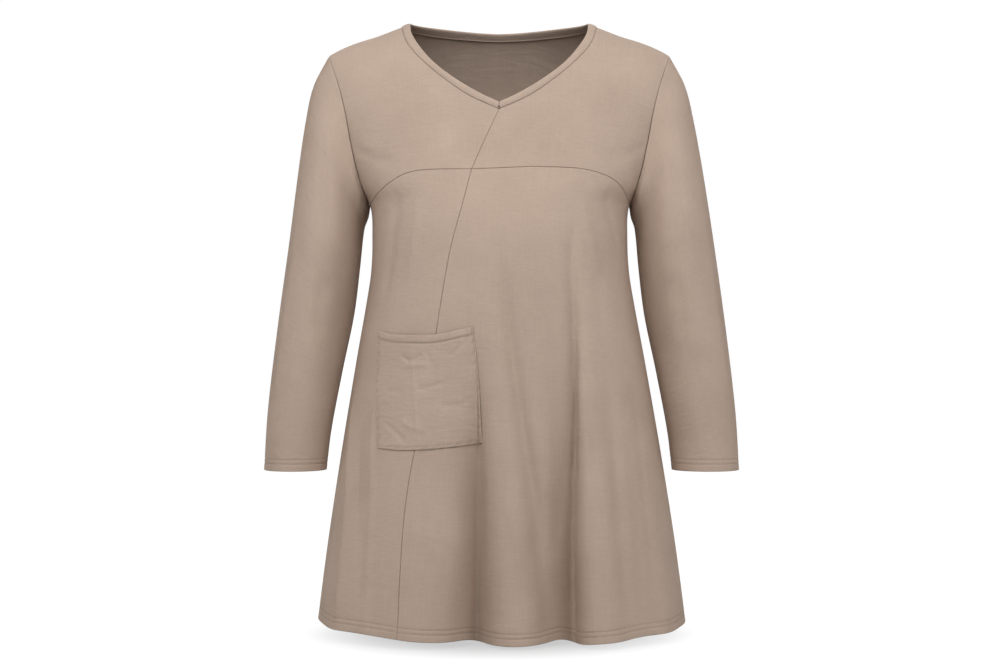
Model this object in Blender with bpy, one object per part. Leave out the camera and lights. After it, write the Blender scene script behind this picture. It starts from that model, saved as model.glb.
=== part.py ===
"""A long-sleeved V-neck jersey tunic dress, filled out as if worn, with no wearer.

Frame: +Z up, the front faces -Y, +X is the wearer's left. The origin lies on the centre line,
level with the points where the shoulders meet the neck, and the dress hangs down from it.
Right and left in the pieces' names are the wearer's.

The body is one smooth skin, torso(turn, drop). Turn is the angle round the body from the middle
of the front, and drop is how far down from the shoulder line a point lies. Every seam is a short
list of places on that skin, and every panel is a grid stretched between four seams.
"""

import math
from collections import namedtuple

import bmesh
import bpy
from mathutils import Vector

for old in list(bpy.data.objects):
    bpy.data.objects.remove(old, do_unlink=True)

MM = 0.001

# Driving dimensions, in metres
HEM_DROP = 751.5 * MM           # from the neck-shoulder points to the hem in front
HEM_SIDE_LIFT = 13 * MM         # how much higher the hem hangs at the side seams
HEM_TILT = 2 * MM               # how much lower it hangs at the wearer's left side
HEM_DIP = 0.3                   # how much lower it hangs on a flute, as a share of the flute
HEM_SWAY = 3 * MM               # how far the hem hangs over to the wearer's left
ROUNDING_DROP = 130 * MM        # how far down the shoulders go on rounding over
UNDERARM_DROP = 228 * MM
SECTION_POWER = 2.3             # 2 gives an elliptical body, more gives a squarer one

RIGHT_SLEEVE_SLIMMER = 6 * MM   # how much narrower the wearer's right sleeve hangs
POCKET_CLEARANCE = 0.7 * MM     # of the pocket's back from the skirt, where it is sewn
POCKET_SLACK = 2.2 * MM         # how much further its mouth stands off
CLOTH = 1.2 * MM                # one layer of jersey with its pile
SEAM_GAP = 0.3 * MM             # between pieces, where they are sewn

# How finely each seam is divided, in steps
ARMHOLE_STEPS = 14
SIDE_STEPS = 18
NARROW_STEPS = 10               # across either yoke and the wearer's right skirt
WIDE_STEPS = 2 * NARROW_STEPS   # across the wearer's left skirt
NECK_STEPS = 9                  # down one side of the front neckline
BACK_NECK_STEPS = 12
SLEEVE_STEPS = 14
POCKET_STEPS = 9                # across it and down it
SEAM_SAMPLES = 300              # fine points along a seam, from which its even ones are read

# Where a millimetre value below has no unit, it is multiplied by MM when it is used.

# The body's half width and its depths before and behind the shoulder line, at each drop.
# Above the underarm the half width is that of the body with its arms' roots.
Level = namedtuple("Level", "drop half_width front_depth back_depth")
LEVELS = [
    Level(0, 236, 78, 84),
    Level(60, 226, 80, 88),
    Level(120, 209, 87, 99),
    Level(170, 192, 101, 107),
    Level(205, 176, 116, 110),
    Level(228, 161.5, 124, 112),
    Level(270, 159, 134, 113),
    Level(310, 160.7, 139, 112),
    Level(345, 166, 141, 113),
    Level(420, 179.5, 146, 118),
    Level(532, 198.5, 154, 130),
    Level(645, 216, 164, 146),
    Level(752, 230, 174, 160),
]

# The height of the shoulder line across the body
Ridge = namedtuple("Ridge", "across height")
RIDGE = [
    Ridge(0, 24),
    Ridge(60, 15),
    Ridge(109, 0),
    Ridge(150, -15.5),
    Ridge(180, -25),
    Ridge(202, -34.5),
    Ridge(214, -42),
    Ridge(236, -64),
]

# The flutes that the skirt falls into: hollows have a negative depth.
# Turns are in degrees from the middle of the front, positive to the wearer's left.
Flute = namedtuple("Flute", "turn_top turn_hem starts_at depth half_width")
FLUTES = [
    Flute(-8, -9, 420, -11, 5.5),
    Flute(2, 6, 330, 7, 7),
    Flute(22, 20, 270, -13, 5.5),
    Flute(34, 33, 300, 8, 8),
    Flute(-22, -26, 380, 4, 9),
    Flute(-58, -62, 470, 4, 8),
    Flute(58, 60, 430, 4, 8),
    Flute(132, 134, 380, 7, 9),
    Flute(152, 150, 330, -9, 7),
    Flute(174, 176, 300, 8, 9),
    Flute(-166, -164, 360, -8, 7),
    Flute(-144, -142, 400, 6, 9),
]


def smooth_step(value):
    """0 below 0, 1 above 1, and an easy rise between."""
    value = min(max(value, 0.0), 1.0)
    return value * value * (3.0 - 2.0 * value)


def smooth_through(knots, values, at):
    """The value of a soft curve through (knot, value) pairs; straight past its ends."""
    last = len(knots) - 1
    span = 0
    while span < last - 1 and at > knots[span + 1]:
        span += 1
    slopes = []
    for knot in (span, span + 1):
        before = max(knot - 1, 0)
        after = min(knot + 1, last)
        slopes.append((values[after] - values[before]) / (knots[after] - knots[before]))
    width = knots[span + 1] - knots[span]
    t = (at - knots[span]) / width
    if t < 0.0:
        return values[span] + slopes[0] * (at - knots[span])
    if t > 1.0:
        return values[span + 1] + slopes[1] * (at - knots[span + 1])
    return ((2 * t**3 - 3 * t**2 + 1) * values[span]
            + (t**3 - 2 * t**2 + t) * width * slopes[0]
            + (3 * t**2 - 2 * t**3) * values[span + 1]
            + (t**3 - t**2) * width * slopes[1])


def level_value(column, drop):
    """One column of LEVELS, in metres, at a drop in metres."""
    knots = [level.drop for level in LEVELS]
    values = [getattr(level, column) for level in LEVELS]
    return smooth_through(knots, values, drop / MM) * MM


def ridge_height(across):
    """How high the shoulder line is, above the neck-shoulder points."""
    knots = [place.across for place in RIDGE]
    values = [place.height for place in RIDGE]
    return smooth_through(knots, values, abs(across) / MM) * MM


def flute_rise(turn, drop):
    """How far the flutes move the skirt out from the body here."""
    rise = 0.0
    for flute in FLUTES:
        start = flute.starts_at * MM
        fall = (drop - start) / (HEM_DROP - start)
        if fall <= 0.0:
            continue
        centre = flute.turn_top + (flute.turn_hem - flute.turn_top) * fall
        away = (math.degrees(turn) - centre + 180.0) % 360.0 - 180.0
        spread = flute.half_width * (0.75 + 0.35 * fall)
        rise += flute.depth * MM * fall**1.2 * math.exp(-(away / spread) ** 2)
    return rise


def sway(drop):
    """How far the skirt's middle hangs to the wearer's left at this drop."""
    return HEM_SWAY * smooth_step(drop / HEM_DROP)


def torso(turn, drop):
    """The body's skin, in metres, at a turn round it and a drop below the shoulder line."""
    half_width = level_value("half_width", drop)
    column = "front_depth" if math.cos(turn) >= 0.0 else "back_depth"
    rounding = math.sqrt(1.0 - (1.0 - min(drop / ROUNDING_DROP, 1.0)) ** 2)
    depth = level_value(column, drop) * rounding
    sideways = math.sin(turn)
    fullness = max(1.0 - abs(sideways) ** SECTION_POWER, 0.0) ** (1.0 / SECTION_POWER)
    across = half_width * sideways + sway(drop)
    forward = math.copysign(depth * fullness, math.cos(turn))
    slope = 1.0 - smooth_step(drop / UNDERARM_DROP)
    height = ridge_height(across) * slope - drop
    rise = flute_rise(turn, drop)
    return Vector((across + rise * sideways, -forward - rise * math.cos(turn), height))


def torso_normal(turn, drop):
    """The direction straight out of the body's skin."""
    step = 0.002
    low = max(drop - step * 0.5, 0.00002)
    across = torso(turn + step, drop + 1e-6) - torso(turn - step, drop + 1e-6)
    down = torso(turn, low + step) - torso(turn, low)
    if drop < 0.0005:
        down = Vector((0.0, -math.copysign(1.0, math.cos(turn)), 0.0))
    normal = down.cross(across)
    return normal.normalized()


def place(across, height, behind=False):
    """The (turn, drop) of a point of the skin, seen straight from the front, in metres."""
    drop = max(-height, 0.0)
    for _ in range(60):
        slope = 1.0 - smooth_step(drop / UNDERARM_DROP)
        drop += 0.5 * (ridge_height(across) * slope - drop - height)
        drop = max(drop, 0.0)
    share = (across - sway(drop)) / level_value("half_width", drop)
    turn = math.asin(min(max(share, -1.0), 1.0))
    return (math.pi - turn if behind else turn, drop)


# ---------------------------------------------------------------- seams

# Each seam is a list of places seen from the front: how far across from the centre line, with
# the wearer's left positive, and how high above the neck-shoulder points.
Spot = namedtuple("Spot", "across height")

ARMHOLE = [
    Spot(213, -41),
    Spot(203, -67),
    Spot(196, -89),
    Spot(188.5, -120),
    Spot(183, -150),
    Spot(177, -178),
    Spot(170.5, -202),
    Spot(161.5, -228),
]
NECK_EDGE = [
    Spot(111, 0),
    Spot(108, -16),
    Spot(97, -35),
    Spot(78, -57),
    Spot(51, -78),
    Spot(23, -95),
    Spot(0, -106),
]
NECK_SEAM = [
    Spot(122, -5),
    Spot(113, -30),
    Spot(92, -55),
    Spot(64, -79),
    Spot(35, -99),
    Spot(0, -115),
]
BACK_NECK_EDGE = [
    Spot(-111, 0),
    Spot(-76, -1.5),
    Spot(0, -5.5),
    Spot(76, -1.5),
    Spot(111, 0),
]
BACK_NECK_SEAM = [
    Spot(-122, -5),
    Spot(-80, -10),
    Spot(0, -14),
    Spot(80, -10),
    Spot(122, -5),
]
YOKE_SEAM_RIGHT = [
    Spot(-161.5, -228),
    Spot(-147, -215),
    Spot(-130, -202),
    Spot(-115, -194),
    Spot(-100, -190.5),
    Spot(-78, -189),
    Spot(-33, -189),
]
YOKE_SEAM_LEFT = [
    Spot(-33, -189),
    Spot(6, -187.5),
    Spot(41, -186),
    Spot(77, -186.5),
    Spot(101, -188),
    Spot(120, -192),
    Spot(136, -198),
    Spot(149, -208),
    Spot(161.5, -228),
]
SLANT_TOP = [
    Spot(0, -115),
    Spot(-17, -152),
    Spot(-33, -189),
]
SLANT_SKIRT = [
    Spot(-33, -189),
    Spot(-43, -229),
    Spot(-58, -286),
    Spot(-71, -360),
    Spot(-77, -400),
    Spot(-99, -520),
    Spot(-107, -563),
    Spot(-113, -612),
    Spot(-117, -680),
    Spot(-119, -747),
]
POCKET_TOP = [
    Spot(-145, -384),
    Spot(-129, -387.5),
    Spot(-108, -389),
    Spot(-80, -389),
    Spot(-62, -386),
    Spot(-46, -382),
    Spot(-31, -379),
]
POCKET_BOTTOM = [
    Spot(-141, -522),
    Spot(-119, -526),
    Spot(-85, -525),
    Spot(-57, -522.5),
    Spot(-18, -519),
]
POCKET_OUTER_SIDE = [
    Spot(-145, -384),
    Spot(-146.5, -440),
    Spot(-145.5, -485),
    Spot(-141, -522),
]
POCKET_INNER_SIDE = [
    Spot(-31, -379),
    Spot(-24, -431),
    Spot(-18.5, -495),
    Spot(-18, -519),
]


def seam(spots, steps, behind=False, side=1.0):
    """A seam as (turn, drop) places, evenly spaced along the cloth.

    Side -1 mirrors it across the body, and behind puts it on the back.
    """
    across = [side * spot.across * MM for spot in spots]
    height = [spot.height * MM for spot in spots]
    knots = [0.0]
    for before, after in zip(range(len(spots)), range(1, len(spots))):
        knots.append(knots[-1] + math.hypot(across[after] - across[before],
                                            height[after] - height[before]))
    fine = []
    for index in range(SEAM_SAMPLES + 1):
        at = knots[-1] * index / SEAM_SAMPLES
        fine.append(place(smooth_through(knots, across, at),
                          smooth_through(knots, height, at), behind))
    track = [torso(*spot) for spot in fine]
    travelled = [0.0]
    for before, after in zip(track, track[1:]):
        travelled.append(travelled[-1] + (after - before).length)
    line = []
    here = 0
    for index in range(steps + 1):
        target = travelled[-1] * index / steps
        while here < SEAM_SAMPLES - 1 and travelled[here + 1] < target:
            here += 1
        share = (target - travelled[here]) / (travelled[here + 1] - travelled[here])
        share = min(max(share, 0.0), 1.0)
        line.append(tuple((1 - share) * fine[here][axis] + share * fine[here + 1][axis]
                          for axis in (0, 1)))
    return line


def on_ridge(across, behind=False):
    """The place on the shoulder line at this distance across."""
    turn = math.asin(across / level_value("half_width", 0.0))
    return (math.pi - turn if behind else turn, 0.0)


def underarm(side, behind=False):
    """The place where armhole and side seam meet."""
    turn = side * math.pi / 2
    return (math.pi - turn if behind else turn, UNDERARM_DROP)


def armhole(side, behind=False):
    """From the tip of the shoulder seam down to the underarm."""
    line = seam(ARMHOLE, ARMHOLE_STEPS, behind, side)
    tip = on_ridge(side * ARMHOLE[0].across * MM, behind)
    return [tip] + line[1:-1] + [underarm(side, behind)]


def front_neck(spots, side):
    """One side of the front neckline, from the shoulder line down to the V."""
    line = seam(spots, NECK_STEPS, side=side)
    return [on_ridge(side * spots[0].across * MM)] + line[1:]


def back_neck(spots):
    """The back neckline from the wearer's right shoulder to the left."""
    line = seam(spots, BACK_NECK_STEPS, behind=True)
    ends = [on_ridge(spot.across * MM, behind=True) for spot in (spots[0], spots[-1])]
    return [ends[0]] + line[1:-1] + [ends[1]]


def shoulder_seam(side, behind=False):
    """From the neck binding out to the tip of the shoulder, on the shoulder line."""
    start = NECK_SEAM[0].across * MM
    end = ARMHOLE[0].across * MM
    return [on_ridge(side * (start + (end - start) * step / NARROW_STEPS), behind)
            for step in range(NARROW_STEPS + 1)]


def hem_drop(turn):
    """How low the hem hangs here: lifted at the sides, lower on each flute."""
    lift = HEM_SIDE_LIFT * abs(math.sin(turn)) ** 4 - HEM_TILT * math.sin(turn)
    return HEM_DROP - lift + HEM_DIP * flute_rise(turn, HEM_DROP)


def hem_line(turn_from, turn_to, steps):
    """The hem from one turn to another."""
    turns = [turn_from + (turn_to - turn_from) * step / steps for step in range(steps + 1)]
    return [(turn, hem_drop(turn)) for turn in turns]


def side_seam(side, behind=False):
    """From the underarm to the hem."""
    turn, start = underarm(side, behind)
    end = hem_drop(turn)
    return [(turn, start + (end - start) * step / SIDE_STEPS) for step in range(SIDE_STEPS + 1)]


# ---------------------------------------------------------------- cloth


def stretch(top, bottom, left, right):
    """Rows of (turn, drop) places between four seams that share their corners."""
    columns = len(top) - 1
    rows = len(left) - 1
    grid = []
    for row in range(rows + 1):
        down = row / rows
        line = []
        for column in range(columns + 1):
            along = column / columns
            spot = []
            for axis in (0, 1):
                sides = (1 - along) * left[row][axis] + along * right[row][axis]
                ends = (1 - down) * top[column][axis] + down * bottom[column][axis]
                corners = ((1 - along) * (1 - down) * top[0][axis]
                           + along * (1 - down) * top[-1][axis]
                           + (1 - along) * down * bottom[0][axis]
                           + along * down * bottom[-1][axis])
                spot.append(sides + ends - corners)
            line.append(tuple(spot))
        grid.append(line)
    return grid


def border_of(rows, columns):
    """The grid's outline as (row, column) pairs, in order."""
    outline = [(0, column) for column in range(columns)]
    outline += [(row, columns) for row in range(rows)]
    outline += [(rows, column) for column in range(columns, 0, -1)]
    outline += [(row, 0) for row in range(rows, 0, -1)]
    return outline


def draw_back(outline, points, normals, amount):
    """Move each point of a closed outline in across the cloth, mitred at the corners."""
    moved = []
    count = len(outline)
    inside = points[1, 1] - points[0, 1]
    along = points[0, 2] - points[0, 0]
    if along.cross(normals[0, 1]).dot(inside) > 0:
        amount = -amount
    for index, key in enumerate(outline):
        here = points[key]
        before = (here - points[outline[index - 1]]).normalized()
        after = (points[outline[(index + 1) % count]] - here).normalized()
        first = before.cross(normals[key]).normalized()
        second = after.cross(normals[key]).normalized()
        mitre = (first + second) / max(1.0 + first.dot(second), 0.2)
        moved.append(here - mitre * amount)
    for key, point in zip(outline, moved):
        points[key] = point


def finish_object(name, bm, colour):
    """Turn a bmesh into a named object with its own cloth material."""
    bmesh.ops.recalc_face_normals(bm, faces=bm.faces)
    mesh = bpy.data.meshes.new(name)
    bm.to_mesh(mesh)
    bm.free()
    mesh.shade_smooth()
    mesh.set_sharp_from_angle(angle=math.radians(50))
    material = bpy.data.materials.new(name + "_jersey")
    material.use_nodes = True
    shader = material.node_tree.nodes["Principled BSDF"]
    shader.inputs["Base Color"].default_value = (*colour, 1.0)
    shader.inputs["Roughness"].default_value = 0.85
    shader.inputs["Metallic"].default_value = 0.0
    mesh.materials.append(material)
    piece = bpy.data.objects.new(name, mesh)
    bpy.context.collection.objects.link(piece)
    return piece


def wall(bm, rows, columns, outer, inner):
    """A panel with an outer and an inner face, closed along its edges.

    Outer and inner hold a point for each (row, column).
    """
    for points in (outer, inner):
        made = bmesh.ops.create_grid(bm, x_segments=columns, y_segments=rows, size=1.0)
        for index, vert in enumerate(made["verts"]):
            vert.co = points[divmod(index, columns + 1)]
    bmesh.ops.bridge_loops(bm, edges=[edge for edge in bm.edges if edge.is_boundary])


def ring_wall(bm, loops):
    """A solid ring through equal closed loops of points, the last joined to the first."""
    count = len(loops[0])
    made = bmesh.ops.create_grid(bm, x_segments=count, y_segments=len(loops), size=1.0)
    for index, vert in enumerate(made["verts"]):
        row, column = divmod(index, count + 1)
        vert.co = loops[row % len(loops)][column % count]
    bmesh.ops.remove_doubles(bm, verts=bm.verts, dist=1e-6)


def body_panel(name, grid, colour, halved_top=False):
    """A panel of the body from its grid of (turn, drop) places.

    With halved_top, every second point of the top seam lies half way between its neighbours,
    because the panel above has only half as many points there.
    """
    rows = len(grid) - 1
    columns = len(grid[0]) - 1
    outer = {}
    normals = {}
    for row in range(rows + 1):
        for column in range(columns + 1):
            outer[row, column] = torso(*grid[row][column])
            normals[row, column] = seam_normal(*grid[row][column])
    if halved_top:
        for column in range(1, columns, 2):
            outer[0, column] = (outer[0, column - 1] + outer[0, column + 1]) / 2
            normals[0, column] = (normals[0, column - 1] + normals[0, column + 1]) / 2
    draw_back(border_of(rows, columns), outer, normals, SEAM_GAP / 2)
    inner = {key: point - normals[key] * CLOTH for key, point in outer.items()}
    bm = bmesh.new()
    wall(bm, rows, columns, outer, inner)
    return finish_object(name, bm, colour)


# ---------------------------------------------------------------- sleeves

# The sleeve's outer and inner lines seen from the front, its depth and how far it swings
# forward, by the share of its length from the armhole to the cuff.
Ring = namedtuple("Ring", "share outer_across outer_height inner_across inner_height depth forward")
RINGS = [
    Ring(0.00, 212, -41, 160.5, -228, 54, 2),
    Ring(0.06, 230.5, -76, 163, -241, 59, 2),
    Ring(0.14, 241, -116, 168, -257, 62, 3),
    Ring(0.28, 254, -186, 173.5, -304, 62, 4),
    Ring(0.45, 268, -278, 181, -364, 59, 6),
    Ring(0.65, 282, -381, 195.5, -435, 55, 9),
    Ring(0.85, 293.5, -482, 209, -508, 50, 13),
    Ring(1.00, 298, -556, 214.5, -556, 48, 15),
]
HOLE_SHAPE_ENDS = 0.35          # the share of its length at which the sleeve is a plain oval
SLIMMER_FROM = 0.5              # the share at which the right sleeve has its full slimming


def ring_value(column, share):
    """One column of RINGS, in metres."""
    knots = [ring.share for ring in RINGS]
    values = [getattr(ring, column) for ring in RINGS]
    return smooth_through(knots, values, share) * MM


def armhole_places(side):
    """The armhole once round, from the shoulder tip down the front and up the back."""
    return armhole(side)[:-1] + armhole(side, behind=True)[:0:-1]


def ring_point(side, share, angle):
    """A point of the sleeve's plain oval, angle 0 at its outer line and a half turn at its inner."""
    outer_across = ring_value("outer_across", share)
    if side < 0:
        outer_across -= RIGHT_SLEEVE_SLIMMER * smooth_step(share / SLIMMER_FROM)
    outer = Vector((side * outer_across, 0.0, ring_value("outer_height", share)))
    inner = Vector((side * ring_value("inner_across", share), 0.0,
                    ring_value("inner_height", share)))
    centre = (outer + inner) / 2
    reach = (outer - inner) / 2
    depth = ring_value("depth", share)
    forward = ring_value("forward", share)
    return (centre + reach * math.cos(angle)
            + Vector((0.0, -depth * math.sin(angle) - forward, 0.0)))


def sleeve_point(side, share, angle, armhole_point):
    """A point of the sleeve, which has the armhole's own outline at its top."""
    oval = ring_point(side, share, angle)
    fading = 1.0 - smooth_step(share / HOLE_SHAPE_ENDS)
    return oval + (armhole_point - ring_point(side, 0.0, angle)) * fading


def sleeve_skin(side):
    """The sleeve's points and outward directions, keyed by (row, column)."""
    holes = [torso(*spot) for spot in armhole_places(side)]
    count = len(holes)
    points = {}
    normals = {}
    for row in range(SLEEVE_STEPS + 1):
        share = row / SLEEVE_STEPS
        for column in range(count):
            angle = 2 * math.pi * column / count
            points[row, column] = sleeve_point(side, share, angle, holes[column])
    for (row, column), point in points.items():
        above = points[max(row - 1, 0), column]
        below = points[min(row + 1, SLEEVE_STEPS), column]
        before = points[row, (column - 1) % count]
        after = points[row, (column + 1) % count]
        normal = (after - before).cross(below - above).normalized()
        normals[row, column] = normal * side
    return points, normals


def mitred(own, other):
    """The direction that two pieces share at a seam, or the piece's own where they fold apart."""
    middle = (own + other).normalized()
    share = smooth_step((own.dot(other) - 0.1) / 0.4)
    return own.lerp(middle, share).normalized()


def armhole_normals():
    """For each place of both armholes: its point, and the body's and the sleeve's direction."""
    shared = []
    for side in (-1.0, 1.0):
        normals = sleeve_skin(side)[1]
        for column, spot in enumerate(armhole_places(side)):
            body = torso_normal(*spot)
            sleeve = normals[0, column]
            shared.append((torso(*spot), mitred(body, sleeve), mitred(sleeve, body)))
    return shared


def seam_normal(turn, drop):
    """The direction out through the body's cloth, mitred with the sleeve at the armhole."""
    point = torso(turn, drop)
    for seam_point, body, _sleeve in ARMHOLE_NORMALS:
        if (seam_point - point).length < 0.01 * MM:
            return body
    return torso_normal(turn, drop)


def make_sleeve(name, side, colour):
    """A tube from the armhole to the cuff."""
    points, normals = sleeve_skin(side)
    count = 2 * ARMHOLE_STEPS
    first = 0 if side < 0 else count
    for column in range(count):
        normals[0, column] = ARMHOLE_NORMALS[first + column][2]
    moved = []
    for column in range(count):
        along = points[0, (column + 1) % count] - points[0, column - 1 if column else count - 1]
        away = along.cross(normals[0, column]).normalized()
        if away.dot(points[1, column] - points[0, column]) < 0:
            away = -away
        moved.append(points[0, column] + away * SEAM_GAP / 2)
    for column, point in enumerate(moved):
        points[0, column] = point
    outside = [[points[row, column] for column in range(count)]
               for row in range(SLEEVE_STEPS + 1)]
    inside = [[points[row, column] - normals[row, column] * CLOTH for column in range(count)]
              for row in range(SLEEVE_STEPS, -1, -1)]
    bm = bmesh.new()
    ring_wall(bm, outside + inside)
    return finish_object(name, bm, colour)


# ---------------------------------------------------------------- neck binding

# The folded strip's section: the share of the way from its seam to its free edge, and how far
# out from the skin, in millimetres.
Fold = namedtuple("Fold", "share out")
BINDING_SECTION = [
    Fold(0.0, 0.1),
    Fold(0.2, 0.8),
    Fold(0.8, 0.8),
    Fold(1.0, 0.1),
    Fold(1.0, -1.0),
    Fold(0.8, -1.6),
    Fold(0.2, -1.6),
    Fold(0.0, -1.1),
]


def around_neck(front_spots, back_spots):
    """Once round the neck from the wearer's right shoulder: down to the V, up, and behind."""
    right = front_neck(front_spots, -1.0)
    left = front_neck(front_spots, 1.0)
    return right[:-1] + left[:0:-1] + back_neck(back_spots)[:0:-1]


def make_binding(name, colour):
    """One closed ring of folded cloth along the neck."""
    loops = []
    for seam_place, edge_place in zip(around_neck(NECK_SEAM, BACK_NECK_SEAM),
                                      around_neck(NECK_EDGE, BACK_NECK_EDGE)):
        start = torso(*seam_place)
        across = torso(*edge_place) - start
        start += across.normalized() * SEAM_GAP / 2
        across -= across.normalized() * SEAM_GAP / 2
        out = (torso_normal(*seam_place) + torso_normal(*edge_place)).normalized()
        loops.append([start + across * fold.share + out * fold.out * MM
                      for fold in BINDING_SECTION])
    bm = bmesh.new()
    ring_wall(bm, loops)
    return finish_object(name, bm, colour)


# ---------------------------------------------------------------- pocket

def make_pocket(name, colour):
    """A patch over the slanted seam, sewn at its sides and bottom and open at its mouth."""
    top = seam(POCKET_TOP, POCKET_STEPS)
    bottom = seam(POCKET_BOTTOM, POCKET_STEPS)
    left = seam(POCKET_OUTER_SIDE, POCKET_STEPS)
    right = seam(POCKET_INNER_SIDE, POCKET_STEPS)
    grid = stretch(top, bottom, left, right)
    inner = {}
    outer = {}
    for row in range(POCKET_STEPS + 1):
        for column in range(POCKET_STEPS + 1):
            spot = grid[row][column]
            open_across = math.sin(math.pi * column / POCKET_STEPS)
            open_down = (1.0 - row / POCKET_STEPS) ** 1.5
            lift = POCKET_CLEARANCE + POCKET_SLACK * open_across * open_down
            normal = torso_normal(*spot)
            inner[row, column] = torso(*spot) + normal * lift
            outer[row, column] = torso(*spot) + normal * (lift + CLOTH)
    bm = bmesh.new()
    wall(bm, POCKET_STEPS, POCKET_STEPS, outer, inner)
    return finish_object(name, bm, colour)


# ---------------------------------------------------------------- the dress

ARMHOLE_NORMALS = armhole_normals()

TAUPE = (0.40, 0.31, 0.25)
SLEEVE_TAUPE = (0.37, 0.285, 0.23)

SLANT_TOP_STEPS = ARMHOLE_STEPS - NECK_STEPS

slant_top = seam(SLANT_TOP, SLANT_TOP_STEPS)
slant_skirt = seam(SLANT_SKIRT, SIDE_STEPS)
slant_turn = slant_skirt[-1][0]
slant_skirt[-1] = (slant_turn, hem_drop(slant_turn))
yoke_seam_right = [underarm(-1.0)] + seam(YOKE_SEAM_RIGHT, NARROW_STEPS)[1:]
yoke_seam_left = seam(YOKE_SEAM_LEFT, WIDE_STEPS)[:-1] + [underarm(1.0)]
neck_right = front_neck(NECK_SEAM, -1.0)
neck_left = front_neck(NECK_SEAM, 1.0)

body_panel(
    "front_yoke_right",
    stretch(
        top=shoulder_seam(-1.0)[::-1],
        bottom=yoke_seam_right,
        left=armhole(-1.0),
        right=neck_right + slant_top[1:],
    ),
    TAUPE,
)
body_panel(
    "front_yoke_left",
    stretch(
        top=shoulder_seam(1.0),
        bottom=yoke_seam_left[::2],
        left=neck_left + slant_top[1:],
        right=armhole(1.0),
    ),
    TAUPE,
)
body_panel(
    "front_skirt_right",
    stretch(
        top=yoke_seam_right,
        bottom=hem_line(-math.pi / 2, slant_turn, NARROW_STEPS),
        left=side_seam(-1.0),
        right=slant_skirt,
    ),
    TAUPE,
)
body_panel(
    "front_skirt_left",
    stretch(
        top=yoke_seam_left,
        bottom=hem_line(slant_turn, math.pi / 2, WIDE_STEPS),
        left=slant_skirt,
        right=side_seam(1.0),
    ),
    TAUPE,
    halved_top=True,
)
back_top = (shoulder_seam(-1.0, behind=True)[::-1] + back_neck(BACK_NECK_SEAM)[1:-1]
            + shoulder_seam(1.0, behind=True))
body_panel(
    "back",
    stretch(
        top=back_top,
        bottom=hem_line(1.5 * math.pi, 0.5 * math.pi, len(back_top) - 1),
        left=armhole(-1.0, behind=True) + side_seam(-1.0, behind=True)[1:],
        right=armhole(1.0, behind=True) + side_seam(1.0, behind=True)[1:],
    ),
    TAUPE,
)
make_sleeve("sleeve_right", -1.0, SLEEVE_TAUPE)
make_sleeve("sleeve_left", 1.0, SLEEVE_TAUPE)
make_binding("neck_binding", TAUPE)
make_pocket("pocket", TAUPE)
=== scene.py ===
# %% [markdown]
# # A long-sleeved V-neck tunic dress in jersey
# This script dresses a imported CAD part. The part's solids are the dress at its real size, cut
# into the pieces that a maker sews together. They are exact but plain, so each is replaced here
# by a finer piece of cloth with its folds, turned hems, rolled seams and stitches.
# Everything is in metres. +Z is up, the front faces -Y, and +X is the wearer's left. The origin
# lies on the centre line, level with the points where the shoulders meet the neck.

# %% Load the frame
import math
from collections import namedtuple

import bmesh
import bpy
import numpy as np
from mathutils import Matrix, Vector


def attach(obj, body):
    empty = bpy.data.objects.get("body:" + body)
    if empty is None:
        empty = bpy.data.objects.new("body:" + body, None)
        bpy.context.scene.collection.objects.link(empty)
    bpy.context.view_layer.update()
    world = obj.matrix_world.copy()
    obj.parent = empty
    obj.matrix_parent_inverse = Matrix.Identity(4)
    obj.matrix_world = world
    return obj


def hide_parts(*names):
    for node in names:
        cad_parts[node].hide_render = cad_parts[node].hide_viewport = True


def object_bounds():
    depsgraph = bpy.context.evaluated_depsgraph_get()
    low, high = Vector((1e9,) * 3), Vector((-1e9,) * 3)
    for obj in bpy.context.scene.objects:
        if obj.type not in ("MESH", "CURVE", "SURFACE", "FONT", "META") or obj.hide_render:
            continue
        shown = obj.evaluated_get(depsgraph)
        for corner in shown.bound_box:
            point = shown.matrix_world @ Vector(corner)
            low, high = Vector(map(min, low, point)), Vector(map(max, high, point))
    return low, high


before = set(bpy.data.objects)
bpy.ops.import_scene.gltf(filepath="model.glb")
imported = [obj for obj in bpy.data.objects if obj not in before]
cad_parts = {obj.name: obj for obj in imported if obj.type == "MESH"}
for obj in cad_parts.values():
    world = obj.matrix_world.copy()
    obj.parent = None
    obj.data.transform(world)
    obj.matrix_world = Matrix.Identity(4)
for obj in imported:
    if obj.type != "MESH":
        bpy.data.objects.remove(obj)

MM = 0.001
cad_box = [list(corner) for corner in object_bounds()]
print("CAD pieces:", ", ".join(sorted(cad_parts)))
print("CAD box in mm:", [[round(value / MM, 1) for value in corner] for corner in cad_box])

# %% [markdown]
# ## The camera
# A catalogue picture is taken from far back with a long lens, level with the middle of the
# dress, so that the hem and the shoulders are hardly seen from above or below. Blender's camera
# looks down its own -Z, and a quarter turn about X makes it look along +Y.

# %% The camera
CAMERA_PLACE = (0.006, -2.8, -0.390)
LENS_MM = 80.0
SENSOR_MM = 36.0

camera_data = bpy.data.cameras.new("camera")
camera_data.lens = LENS_MM
camera_data.sensor_width = SENSOR_MM
camera_data.clip_end = 100.0
camera = bpy.data.objects.new("camera", camera_data)
camera.location = CAMERA_PLACE
camera.rotation_euler = (math.radians(90), 0.0, 0.0)
bpy.context.collection.objects.link(camera)
bpy.context.scene.camera = camera
print("camera at", CAMERA_PLACE, "with a", LENS_MM, "mm lens")
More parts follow.
